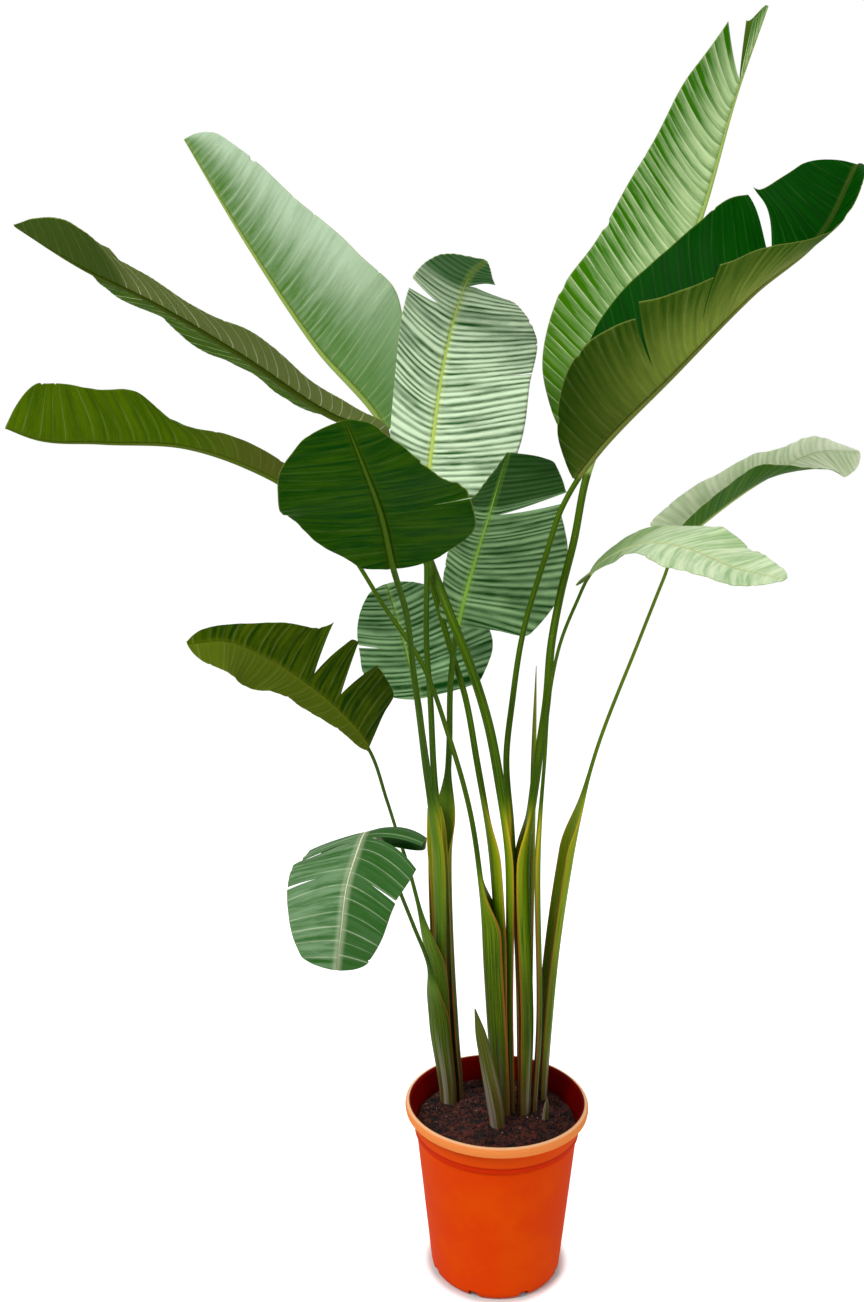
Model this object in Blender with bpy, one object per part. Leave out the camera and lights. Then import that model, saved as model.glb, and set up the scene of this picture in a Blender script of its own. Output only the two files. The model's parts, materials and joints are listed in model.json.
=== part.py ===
"""A potted giant bird of paradise: nursery pot, soil, thirteen leaves, a spear and two young shoots.

Metres, +Z up. The origin is the centre of the pot's underside; -Y is the side with the hanging leaf.
Each leaf is two objects, for its two colours: a stalk, which is the sheath, the leaf stalk and the
midrib in one length, and a blade, which lies on the midrib with a hair's gap.
"""
import math

import bmesh
import bpy
import numpy as np

# Pot, driving dimensions
POT_HEIGHT = 0.229
POT_RIM_RADIUS = 0.1195
POT_BASE_RADIUS = 0.085
POT_WALL = 0.0025
RIM_DEPTH = 0.020
RIM_OVERHANG = 0.0115
BAND_DEPTH = 0.022
BAND_STEP = 0.0025
BAND_TAPER = 0.001
FLARE_STEP = (0.0036, 0.0060)
FOOT_RADIUS = 0.006
DRAIN_HOLES = 8
DRAIN_RADIUS = 0.007
DRAIN_INSET = 0.004
DRAIN_TOP = 0.0075
DRAIN_SIDES = 12
POT_SEGMENTS = 48
FOOT_STEPS = 3

# The flared rim's section from under its skirt to its inner edge: inward from the lip, down from the top
RIM_SECTION = ((0.0060, 0.0075), (0.0030, 0.0065), (0.0024, 0.0080), (0.0034, 0.0130), (0.0012, 0.0132),
               (0.0, 0.0070), (0.0006, 0.0025), (0.0030, 0.0), (0.0060, 0.0008), (0.0085, 0.0040))

# Soil
SOIL_DROP = 0.029
SOIL_RELIEF = 0.003
ROOTING_DEPTH = 0.045
GAP = 0.0003
SOIL_CORE = 0.03
SOIL_SHOULDER = 0.004
SOIL_RINGS = (0.93, 0.80, 0.64, 0.46, 0.28, 0.12)
HOLE_SIDES = 28
HOLE_HALF_WIDTH = 0.0180
HOLE_SQUARENESS = 0.55
SHOOT_CLEARANCE = 0.0016

# Leaves
BLADE_THICKNESS = 0.0008
BLADE_ROWS = 15
ROW_CROWDING = 0.09
BLADE_COLUMNS = (0.45, 1.0)
END_ROUNDING = 0.07
END_WIDTH = 0.004
VEIN_BEND = 1.4
LOBE_BEND = 1.3
LOBE_START = 0.06
LOBE_END = 0.35
TEAR_SPREAD = 0.07
LIFT_SPREAD = 0.08
FLAT = 1e-4
PATH_STEPS = 24
STALK_SIDES = 8
STALK_STATIONS = 13
STALK_TAPER = 0.38
MIDRIB_TAPER = 0.8
SHEATH_WIDTH = (0.0160, 0.0095, 0.0165, 0.0240)
SHEATH_BEND = (0.0125, 0.0125, 0.0160, 0.0160)
SHEATH_GROWTH = 0.28
TWIST_START = 0.5
SHEATH_PART = 0.31
LONE_SHEATH_REACH = 0.010
SHEATH_TOP = 0.66
SHEATH_FADE = 0.12
FAN_OPENING = 0.25
FIRST_RANK = 0.8
MIDRIB_TIP_RADIUS = 0.0008

SOIL_TOP = POT_HEIGHT - SOIL_DROP
FOOT_LEVEL = SOIL_TOP - ROOTING_DEPTH
BUNDLE_LEVEL = 0.30

# Where each fan of leaves stands in the soil: centre, the way it is spread, the space between its
# sheaths, the size of its sheaths, and how far its top leans over the bundled length
FANS = {
    "left": dict(centre=(-0.058, 0.052), spread=(-0.62, -0.78), pitch=0.0050, size=0.80,
                 lean=(-0.010, -0.006)),
    "centre": dict(centre=(0.0266, 0.022), spread=(-1.0, 0.0), pitch=0.0085, size=1.0,
                   lean=(-0.002, 0.001)),
    "right": dict(centre=(0.069, 0.057), spread=(1.0, 0.2), pitch=0.0070, size=1.0,
                  lean=(0.005, 0.002)),
}

GREEN = (0.075, 0.20, 0.035)
PALE_GREEN = (0.26, 0.42, 0.22)
DARK_GREEN = (0.03, 0.11, 0.02)
STALK_GREEN = (0.13, 0.27, 0.04)


def half(widths, fold, curl=(0.0, 0.0), back=0.0, lead=0.10):
    """One side of a blade: half-widths from base to tip, metres; fold and curl angles, degrees; how far
    the side reaches back past the blade's base, metres; how far its veins lead toward the tip."""
    return dict(widths=widths, fold=fold, curl=curl, back=back, lead=lead)


def tear(side, at, inner, opening, lift=0.0, lean=0.0, keep=1.0):
    """A tear along a vein: the side, its place along the midrib (0 base, 1 tip), how far from the
    midrib it starts (0 midrib, 1 margin), how wide it is open at the margin, how far its outer lip
    stands up and how far both lips lean toward the tip, all in metres, and the part of the width that
    is left between the tear and the tip."""
    return dict(side=side, at=at, inner=inner, opening=opening, lift=lift, lean=lean, keep=keep)


# Each leaf: its fan and rank there (the sign is the side, 3 is outermost); the points of its stalk
# above the bundle, up to the blade; the midrib from the blade's base to the tip; the way the upper
# face looks at the base and at the tip; the two sides; the stalk's radius; the tears and the waves.
# Some have a sheath of their own half-width, or one that ends at a height of its own
LEAVES = {
    "left_long": dict(
        fan="centre", rank=1, radius=0.0090, sheath=0.0108, colour=GREEN,
        stalk=((0.001, 0.010, 0.655), (-0.014, 0.008, 0.730), (-0.036, 0.010, 0.800),
               (-0.060, 0.014, 0.860), (-0.088, 0.046, 0.930), (-0.116, 0.066, 1.008)),
        midrib=((-0.143, 0.060, 1.080), (-0.206, 0.020, 1.106), (-0.306, -0.030, 1.172),
                (-0.400, -0.070, 1.228), (-0.471, -0.090, 1.262), (-0.538, -0.100, 1.303)),
        face=((0.35, -0.10, 1.0), (0.25, -0.10, 1.0)),
        left=half((0.02, 0.055, 0.065, 0.055, 0.092, 0.012), (25, 22, 20, 22, 28)),
        right=half((0.03, 0.085, 0.105, 0.11, 0.08, 0.03), (-8, -10, -8, -3)),
        tears=(tear("left", 0.70, 0.35, 0.004, 0.006),), waves=(0.004, 4)),
    "left_level": dict(
        fan="centre", rank=3, radius=0.0045, sheath_top=0.57, colour=GREEN,
        stalk=((-0.014, 0.020, 0.400), (-0.020, 0.012, 0.500), (-0.035, 0.001, 0.610),
               (-0.064, -0.022, 0.720), (-0.099, -0.043, 0.818), (-0.139, -0.053, 0.880),
               (-0.187, -0.058, 0.956)),
        midrib=((-0.249, -0.060, 1.019), (-0.291, -0.090, 1.044), (-0.352, -0.130, 1.066),
                (-0.433, -0.180, 1.070), (-0.490, -0.220, 1.074), (-0.514, -0.230, 1.084)),
        face=((0.30, 0.10, 1.0), (0.10, 0.10, 1.0)),
        left=half((0.02, 0.024, 0.026, 0.026, 0.055, 0.058, 0.060, 0.060, 0.056), (60, 65, 70, 60)),
        right=half((0.03, 0.04, 0.05, 0.06, 0.055, 0.042), (30, 35, 40)),
        tears=(tear("left", 0.41, 0.10, 0.008, lean=-0.008),), waves=(0.002, 3)),
    "left_broad": dict(
        fan="centre", rank=2, radius=0.0060, colour=PALE_GREEN,
        stalk=((-0.001, 0.023, 0.460), (-0.013, 0.036, 0.592), (-0.026, 0.050, 0.669),
               (-0.042, 0.065, 0.754),
               (-0.059, 0.077, 0.808), (-0.078, 0.086, 0.872), (-0.110, 0.095, 0.985)),
        midrib=((-0.144, 0.104, 1.090), (-0.235, 0.135, 1.198), (-0.320, 0.145, 1.324),
                (-0.397, 0.135, 1.452)),
        face=((0.65, 0.50, 0.46), (0.65, 0.45, 0.50)),
        left=half((0.03, 0.118, 0.110, 0.086, 0.064, 0.034), (52, 48, 40), lead=0.08),
        right=half((0.03, 0.08, 0.10, 0.09, 0.072, 0.050), (60, 65, 75), lead=0.08),
        tears=(), waves=(0.001, 3)),
    "centre_upright": dict(
        fan="left", rank=-1, radius=0.0055, colour=PALE_GREEN,
        stalk=((-0.077, 0.034, 0.580), (-0.083, 0.038, 0.673), (-0.087, 0.040, 0.760),
               (-0.091, 0.034, 0.815), (-0.091, 0.022, 0.915)),
        midrib=((-0.091, 0.026, 0.998), (-0.083, 0.034, 1.078), (-0.066, 0.036, 1.188),
                (-0.054, 0.015, 1.233), (-0.039, -0.025, 1.266), (-0.024, -0.060, 1.274)),
        face=((-0.20, -1.0, 0.1), (0.0, -0.7, -0.5)),
        left=half((0.04, 0.05, 0.055, 0.06, 0.055, 0.02), (8, 5, 10), back=0.02),
        right=half((0.08, 0.105, 0.105, 0.10, 0.06, 0.01), (5, 3, 5)),
        tears=(tear("left", 0.70, 0.35, 0.018, 0.004), tear("right", 0.82, 0.20, 0.030, 0.004, keep=0.5),
               tear("right", 0.45, 0.70, 0.003, 0.0)), waves=(0.003, 3)),
    "front_dark": dict(
        fan="left", rank=1, radius=0.0055, colour=DARK_GREEN,
        stalk=((-0.081, 0.012, 0.590), (-0.092, -0.010, 0.673), (-0.099, -0.035, 0.740),
               (-0.106, -0.070, 0.806), (-0.114, -0.120, 0.885)),
        midrib=((-0.126, -0.160, 0.935), (-0.136, -0.240, 0.998), (-0.149, -0.320, 1.047),
                (-0.162, -0.365, 1.087)),
        face=((0.05, 0.75, 0.60), (0.0, 0.50, 0.80)),
        left=half((0.03, 0.085, 0.092, 0.07, 0.038, 0.022), (-5, -5, -5)),
        right=half((0.02, 0.064, 0.088, 0.086, 0.070, 0.03), (-10, -10, -10), back=0.012),
        tears=(tear("left", 0.42, 0.35, 0.003, 0.0),), waves=(0.005, 3)),
    "centre_right": dict(
        fan="left", rank=-3, radius=0.0060, colour=DARK_GREEN,
        stalk=((-0.066, 0.070, 0.590), (-0.062, 0.062, 0.688), (-0.060, 0.058, 0.780)),
        midrib=((-0.052, 0.060, 0.843), (-0.033, 0.048, 0.922), (-0.014, 0.010, 0.993),
                (0.004, -0.030, 1.062)),
        face=((0.45, -1.0, 0.30), (0.45, -1.0, 0.10)),
        left=half((0.025, 0.034, 0.040, 0.050, 0.052, 0.03), (5, 5, 25, 50)),
        right=half((0.08, 0.124, 0.114, 0.092, 0.080, 0.055), (5, 5, 5), back=0.022),
        tears=(tear("right", 0.64, 0.10, 0.020, 0.004, lean=0.010),), waves=(0.004, 3)),
    "centre_low": dict(
        fan="left", rank=-2, radius=0.0040, colour=DARK_GREEN,
        stalk=((-0.077, 0.058, 0.575), (-0.087, 0.070, 0.640), (-0.096, 0.084, 0.700)),
        midrib=((-0.102, 0.097, 0.741), (-0.116, 0.125, 0.790), (-0.130, 0.142, 0.838),
                (-0.146, 0.155, 0.888)),
        face=((0.10, -1.0, 0.30), (0.10, -1.0, 0.30)),
        left=half((0.03, 0.06, 0.06, 0.055, 0.042, 0.02), (5, 5, 5)),
        right=half((0.07, 0.110, 0.110, 0.090, 0.060, 0.02), (5, 5, 5), back=0.010),
        tears=(tear("left", 0.45, 0.55, 0.004, 0.0),), waves=(0.003, 3)),
    "right_tall": dict(
        fan="centre", rank=-2, radius=0.0085, sheath=0.0195, colour=GREEN,
        stalk=((0.040, 0.025, 0.585), (0.050, 0.028, 0.676), (0.060, 0.030, 0.753),
               (0.065, 0.034, 0.823), (0.077, 0.040, 0.890), (0.092, 0.045, 0.951)),
        midrib=((0.107, 0.050, 1.031), (0.183, 0.120, 1.174), (0.264, 0.160, 1.365),
                (0.301, 0.140, 1.515), (0.326, 0.110, 1.600)),
        face=((-1.0, 0.15, -0.10), (-1.0, 0.20, -0.20)),
        left=half((0.02, 0.10, 0.115, 0.10, 0.06, 0.01), (60, 60, 60)),
        right=half((0.010, 0.104, 0.128, 0.116, 0.104, 0.090, 0.072, 0.044, 0.012), (70, 70, 65)),
        tears=(tear("right", 0.87, 0.10, 0.014, lean=0.036, keep=0.30),
               tear("left", 0.87, 0.15, 0.014, lean=0.030, keep=0.45)),
        waves=(0.0015, 4)),
    "right_folded": dict(
        fan="centre", rank=-1, radius=0.0060, colour=DARK_GREEN,
        stalk=((0.019, 0.042, 0.580), (0.011, 0.048, 0.671), (0.018, 0.046, 0.750),
               (0.028, 0.034, 0.831), (0.055, 0.005, 0.941), (0.072, -0.012, 0.999)),
        midrib=((0.088, -0.020, 1.030), (0.108, -0.040, 1.060), (0.186, -0.090, 1.148),
                (0.264, -0.110, 1.230), (0.342, -0.100, 1.297), (0.374, -0.100, 1.367)),
        face=((-0.75, 0.10, 0.65), (-0.60, 0.10, 0.80)),
        left=half((0.02, 0.11, 0.11, 0.105, 0.08, 0.045), (65, 70, 75), lead=0.14),
        right=half((0.02, 0.105, 0.088, 0.064, 0.049, 0.027), (75, 42, 0, -15)),
        tears=(tear("left", 0.685, 0.10, 0.030, lean=0.020),
               tear("right", 0.33, 0.25, 0.013, 0.005, keep=1.06),
               tear("right", 0.46, 0.35, 0.010, 0.003, keep=1.04)),
        waves=(0.002, 4)),
    "right_arching": dict(
        fan="centre", rank=-3, radius=0.0035, sheath=0.0080, colour=PALE_GREEN,
        stalk=((0.051, 0.004, 0.590), (0.056, 0.000, 0.682), (0.061, -0.006, 0.772),
               (0.072, -0.018, 0.836), (0.088, -0.034, 0.885)),
        midrib=((0.101, -0.050, 0.919), (0.122, -0.080, 0.943), (0.153, -0.120, 0.960),
                (0.190, -0.180, 0.958), (0.231, -0.230, 0.941), (0.269, -0.260, 0.934)),
        face=((-0.30, -0.35, 1.0), (0.20, -0.45, 1.0)),
        left=half((0.04, 0.045, 0.055, 0.050, 0.038, 0.015), (5, 5, 5), back=0.022),
        right=half((0.035, 0.040, 0.045, 0.048, 0.04, 0.015), (0, 0, 0), back=0.018),
        tears=(), waves=(0.003, 3)),
    "far_right": dict(
        fan="right", rank=0, radius=0.0035, colour=PALE_GREEN,
        stalk=((0.0825, 0.062, 0.405), (0.0965, 0.062, 0.518), (0.112, 0.060, 0.614),
               (0.1255, 0.060, 0.668), (0.180, 0.056, 0.826), (0.208, 0.052, 0.905)),
        midrib=((0.224, 0.050, 0.948), (0.257, 0.055, 0.975), (0.334, 0.070, 1.028),
                (0.412, 0.080, 1.063), (0.457, 0.080, 1.063)),
        face=((-0.50, -0.35, 0.70), (0.0, -0.35, 1.0)),
        left=half((0.05, 0.058, 0.052, 0.042, 0.048, 0.02), (18, 8, -5), back=0.03),
        right=half((0.02, 0.04, 0.05, 0.055, 0.055, 0.02), (70, 55, 0, -30)),
        tears=(), waves=(0.003, 3)),
    "lower_left": dict(
        fan="left", rank=2, radius=0.0035, sheath_top=0.50, colour=GREEN,
        stalk=((-0.083, 0.028, 0.400), (-0.100, 0.012, 0.481), (-0.114, 0.000, 0.542),
               (-0.128, -0.014, 0.594), (-0.140, -0.030, 0.640)),
        midrib=((-0.161, -0.060, 0.713), (-0.202, -0.090, 0.771), (-0.233, -0.110, 0.802),
                (-0.266, -0.130, 0.830), (-0.314, -0.160, 0.856), (-0.348, -0.180, 0.856)),
        face=((0.50, -0.50, 0.70), (0.0, -0.60, 0.80)),
        left=half((0.01, 0.022, 0.030, 0.045, 0.045, 0.02), (-10, -10, -5)),
        right=half((0.095, 0.100, 0.090, 0.062, 0.030, 0.010), (5, 15, 15), back=0.022, lead=-0.06),
        tears=(tear("right", 0.26, 0.20, 0.036, 0.004), tear("right", 0.42, 0.20, 0.030, 0.006)),
        waves=(0.003, 3)),
    "lowest": dict(
        fan="left", rank=3, radius=0.0035, sheath=0.0200, sheath_top=0.43, colour=PALE_GREEN,
        stalk=((-0.088, -0.012, 0.416), (-0.107, -0.050, 0.485), (-0.123, -0.085, 0.543),
               (-0.134, -0.120, 0.592)),
        midrib=((-0.143, -0.150, 0.621), (-0.156, -0.200, 0.652), (-0.164, -0.250, 0.643),
                (-0.172, -0.280, 0.620), (-0.177, -0.295, 0.580), (-0.182, -0.300, 0.539)),
        face=((-0.30, 0.10, 1.0), (0.0, -1.0, -0.10)),
        left=half((0.055, 0.068, 0.062, 0.05, 0.04, 0.025), (15, -4, 0), curl=(-90, -5, 0), back=0.01),
        right=half((0.05, 0.065, 0.065, 0.06, 0.05, 0.03), (8, -4, 0), curl=(-25, -5, 0), back=0.01),
        tears=(tear("right", 0.35, 0.10, 0.008), tear("left", 0.35, 0.10, 0.026),
               tear("right", 0.58, 0.45, 0.003), tear("left", 0.58, 0.45, 0.003)),
        waves=(0.003, 2)),
}

# The young growth: foot, the points above it, the radius, and the radius's parts from foot to tip
SPEAR_RADIUS = 0.0036
SPEAR_TAPER = (1, 1, 1, 1, 1.1, 1.15, 1.1, 0.8, 0.3)
SHOOT_TAPER = (0.85, 0.94, 1.0, 0.94, 0.80, 0.62, 0.12)
SHOOT_SIDES = 10
SPEAR = dict(foot=(0.045, 0.048), points=((0.046, 0.048, 0.330), (0.046, 0.048, 0.500),
                                          (0.047, 0.052, 0.690), (0.049, 0.055, 0.793)))
SHOOTS = {
    "young_shoot": dict(foot=(0.000, -0.012), points=((-0.0055, -0.013, 0.240), (-0.0150, -0.015, 0.290),
                                                      (-0.0230, -0.018, 0.330), (-0.0297, -0.020, 0.362)),
                        radius=0.0112),
    "small_bud": dict(foot=(0.064, -0.001), points=((0.065, -0.002, 0.214), (0.066, -0.003, 0.231)),
                      radius=0.0060),
}


def unit(vectors):
    """The vectors at length one."""
    vectors = np.asarray(vectors, float)
    return vectors / np.linalg.norm(vectors, axis=-1, keepdims=True)


def spline(values, u):
    """A Catmull-Rom curve through evenly spaced values, read at u from 0 to 1."""
    values = np.asarray(values, float)
    values = np.concatenate([[2 * values[0] - values[1]], values, [2 * values[-1] - values[-2]]])
    x = np.clip(np.asarray(u, float), 0.0, 1.0) * (len(values) - 3)
    i = np.minimum(x.astype(int), len(values) - 4)
    t = x - i
    if values.ndim > 1:
        t = t[..., None]
    a, b, c, d = values[i], values[i + 1], values[i + 2], values[i + 3]
    return 0.5 * (2 * b + (c - a) * t + (2 * a - 5 * b + 4 * c - d) * t ** 2
                  + (3 * b - a - 3 * c + d) * t ** 3)


def smooth_path(points):
    """A smooth dense line through points. Its slopes are weighted by the lengths of the two spans that
    meet at a point, so that a short span doesn't bulge."""
    points = np.asarray(points, float)
    gaps = np.linalg.norm(np.diff(points, axis=0), axis=1)[:, None]
    chord = np.diff(points, axis=0) / gaps
    inner = (chord[:-1] * gaps[1:] + chord[1:] * gaps[:-1]) / (gaps[:-1] + gaps[1:])
    slope = np.concatenate([chord[:1], inner, chord[-1:]])
    t = np.linspace(0, 1, PATH_STEPS, endpoint=False)[:, None]
    spans = []
    for a, b, m, n, h in zip(points[:-1], points[1:], slope[:-1], slope[1:], gaps):
        spans.append((2 * t ** 3 - 3 * t ** 2 + 1) * a + (t ** 3 - 2 * t ** 2 + t) * h * m
                     + (3 * t ** 2 - 2 * t ** 3) * b + (t ** 3 - t ** 2) * h * n)
    return np.concatenate(spans + [points[-1:]])


def at_fraction(path, fraction):
    """The points at the given fractions of a polyline's length."""
    steps = np.linalg.norm(np.diff(path, axis=0), axis=1)
    length = np.concatenate([[0.0], np.cumsum(steps)]) / steps.sum()
    return np.stack([np.interp(fraction, length, path[:, k]) for k in range(3)], axis=-1)


def frames(path, fraction, facing):
    """Points, tangents, sideways and face directions at fractions of a path; facing gives the rough
    face direction there."""
    step = 0.006
    points = at_fraction(path, fraction)
    ahead = at_fraction(path, np.clip(fraction + step, 0, 1))
    behind = at_fraction(path, np.clip(fraction - step, 0, 1))
    tangent = unit(ahead - behind)
    face = unit(facing - tangent * (facing * tangent).sum(-1, keepdims=True))
    return points, tangent, np.cross(tangent, face), face


def smooth_step(x):
    """0 below 0, 1 above 1, and an even blend between."""
    x = np.clip(x, 0.0, 1.0)
    return x * x * (3 - 2 * x)


def fan_point(fan, rank, level):
    """Where the sheath of a rank stands in its fan at a height."""
    data = FANS[fan]
    spread = unit(data["spread"])
    rise = max(level - SOIL_TOP, 0.0) / (BUNDLE_LEVEL - SOIL_TOP)
    centre = np.add(data["centre"], np.multiply(data["lean"], rise))
    near = FIRST_RANK if abs(rank) == 1 else 1.0
    x, y = centre + spread * rank * near * data["pitch"] * (1 + FAN_OPENING * rise)
    return (x, y, level)


def leaf_path(leaf):
    """The dense line from the foot to the tip, and the fractions of its length where it leaves the soil
    and where the blade starts."""
    levels = (FOOT_LEVEL + GAP, SOIL_TOP, BUNDLE_LEVEL)
    foot = [fan_point(leaf["fan"], leaf["rank"], level) for level in levels]
    path = smooth_path(foot + list(leaf["stalk"]) + list(leaf["midrib"]))
    steps = np.linalg.norm(np.diff(path, axis=0), axis=1)
    base = PATH_STEPS * (len(foot) + len(leaf["stalk"]))
    return path, steps[:PATH_STEPS].sum() / steps.sum(), steps[:base].sum() / steps.sum()


def inward(leaf):
    """The way the sheath's hollow side looks at the foot: to the middle of its fan."""
    x, y = unit(FANS[leaf["fan"]]["spread"])
    sign = -1 if leaf["rank"] >= 0 else 1
    return np.array((x * sign, y * sign, 0.0))


def blade_stations(leaf):
    """Fractions along the blade, closer at both ends, with one exactly at each tear."""
    even = np.linspace(0, 1, BLADE_ROWS)
    rows = even - ROW_CROWDING * np.sin(2 * np.pi * even)
    for item in leaf["tears"]:
        rows[1 + np.argmin(abs(rows[1:-1] - item["at"]))] = item["at"]
    return rows


def blade_facing(leaf, u):
    """The rough direction of the upper face along the blade."""
    first, last = unit(leaf["face"][0]), unit(leaf["face"][1])
    return first * (1 - u)[..., None] + last * u[..., None]


def midrib_radius(leaf, u):
    """The midrib's radius along the blade, from the stalk's down to a point."""
    full = (1 - STALK_TAPER) * leaf["radius"] - MIDRIB_TIP_RADIUS
    return MIDRIB_TIP_RADIUS + full * (1 - u) ** MIDRIB_TAPER


def half_width(widths, u):
    """The distance from midrib to margin, with both ends of the blade rounded off."""
    base = np.clip(u / END_ROUNDING, 0, 1)
    tip = np.clip((1 - u) / END_ROUNDING, 0, 1)
    rounding = np.sqrt(1 - (1 - base) ** 2) * np.sqrt(1 - (1 - tip) ** 2)
    return np.maximum(spline(widths, u) * rounding, END_WIDTH)


def blade_side(leaf, path, start, side, rows, columns, bank):
    """The middle surface of one side of a blade, rows by columns. bank is -1 for the lip of each torn
    row that is nearer the base and 1 for the other lip."""
    data = leaf[side]
    sign = -1 if side == "left" else 1
    u = rows[:, None] + 0 * columns[None]
    v = columns[None] + 0 * rows[:, None]
    length = (1 - start) * np.linalg.norm(np.diff(path, axis=0), axis=1).sum()
    shift = data["lead"] * v ** VEIN_BEND * np.sin(np.pi * u)
    lift = np.zeros_like(u)
    kept = np.ones_like(u)
    for item in leaf["tears"]:
        if item["side"] != side:
            continue
        away = u - item["at"]
        lip = np.where(abs(away) < 1e-9, bank, np.sign(away))
        open_by = np.clip((v - item["inner"]) / (1 - item["inner"]), 0, 1)
        reach = item["lean"] + lip * item["opening"] / 2
        shift = shift + open_by * reach / length * np.exp(-abs(away) / TEAR_SPREAD)
        lift = lift + np.where(lip > 0, open_by * item["lift"] * np.exp(-abs(away) / LIFT_SPREAD), 0)
        kept = kept * np.where(lip > 0, item["keep"], 1.0)
    along = np.clip(u + shift, 0, 1)
    point, tangent, across, face = frames(path, start + along * (1 - start), blade_facing(leaf, along))
    rib = midrib_radius(leaf, u)
    width = half_width(data["widths"], u) * kept
    fold = np.radians(spline(data["fold"], u))
    curl = np.radians(spline(data["curl"], u)) + FLAT
    out = rib + width / curl * (np.sin(fold + curl * v) - np.sin(fold))
    up = -width / curl * (np.cos(fold + curl * v) - np.cos(fold))
    height, count = leaf["waves"]
    ends = np.sin(np.pi * u)
    up = up + lift + height * v ** 2 * ends * np.sin(2 * np.pi * count * u + sign)
    up = up + rib + GAP + BLADE_THICKNESS / 2
    back = data["back"] * v ** LOBE_BEND * smooth_step(u / LOBE_START) * np.clip(1 - u / LOBE_END, 0, 1) ** 2
    return point + sign * across * out[..., None] + face * up[..., None] - tangent * back[..., None]


def blade_mesh(leaf):
    """Points and triangles of a blade: its middle surface, given a thickness."""
    path, _, start = leaf_path(leaf)
    rows = blade_stations(leaf)
    point, _, _, face = frames(path, start + rows * (1 - start), blade_facing(leaf, rows))
    ridge = point + face * (midrib_radius(leaf, rows) + GAP + BLADE_THICKNESS / 2)[:, None]
    points = list(ridge)
    faces = []
    columns = np.array((0.0,) + BLADE_COLUMNS)
    for side in ("left", "right"):
        torn = {int(np.argmin(abs(rows - item["at"]))): item["inner"]
                for item in leaf["tears"] if item["side"] == side}
        near = blade_side(leaf, path, start, side, rows, columns, -1)
        far = blade_side(leaf, path, start, side, rows, columns, 1)
        lower = np.zeros((len(rows), len(columns) + 1), int)
        upper = np.zeros_like(lower)
        for i in range(len(rows)):
            lower[i, 0] = upper[i, 0] = i
            for j, v in enumerate(columns):
                lower[i, j + 1] = upper[i, j + 1] = len(points)
                points.append(near[i, j])
                if i in torn and v > torn[i]:
                    upper[i, j + 1] = len(points)
                    points.append(far[i, j])
        for i in range(len(rows) - 1):
            for j in range(len(columns)):
                a, b = upper[i, j], upper[i, j + 1]
                c, d = lower[i + 1, j + 1], lower[i + 1, j]
                faces += [(a, b, c), (a, c, d)] if side == "right" else [(a, c, b), (a, d, c)]
    return thicken(np.array(points), np.array(faces), BLADE_THICKNESS)


def thicken(points, faces, thickness):
    """A sheet of triangles made solid: the same triangles on both faces, and a wall round the edge."""
    corner = points[faces]
    normal = np.cross(corner[:, 1] - corner[:, 0], corner[:, 2] - corner[:, 0])
    total = np.zeros_like(points)
    for k in range(3):
        np.add.at(total, faces[:, k], normal)
    offset = unit(total) * thickness / 2
    count = len(points)
    edges = {(a, b) for face in faces.tolist() for a, b in zip(face, face[1:] + face[:1])}
    walls = []
    for a, b in edges:
        if (b, a) not in edges:
            walls += [(a, a + count, b), (b, a + count, b + count)]
    walls.sort()
    solid = np.concatenate([faces, faces[:, ::-1] + count, np.array(walls)])
    return np.concatenate([points + offset, points - offset]), solid


def bent_section(half_wide, half_thick, bend, sides):
    """A flat ellipse bent round a radius, as (sideways, toward the face) pairs: a clasping sheath when
    it is wide and thin, and a round stalk when it isn't."""
    angle = 2 * np.pi * (np.arange(sides) + 0.5) / sides
    p = half_wide * np.cos(angle)
    q = half_thick * np.sin(angle)
    turn = p / bend
    return np.stack([(bend - q) * np.sin(turn), bend * (1 - np.cos(turn)) + q * np.cos(turn)], axis=-1)


def loft(rings):
    """Points and quads of a closed tube through rings of equal length, with its ends filled."""
    count, sides = rings.shape[:2]
    index = np.arange(count * sides).reshape(count, sides)
    faces = []
    for i in range(count - 1):
        for j in range(sides):
            k = (j + 1) % sides
            faces.append((index[i, j], index[i, k], index[i + 1, k], index[i + 1, j]))
    faces.append(tuple(index[0][::-1]))
    faces.append(tuple(index[-1]))
    return rings.reshape(-1, 3), faces


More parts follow.
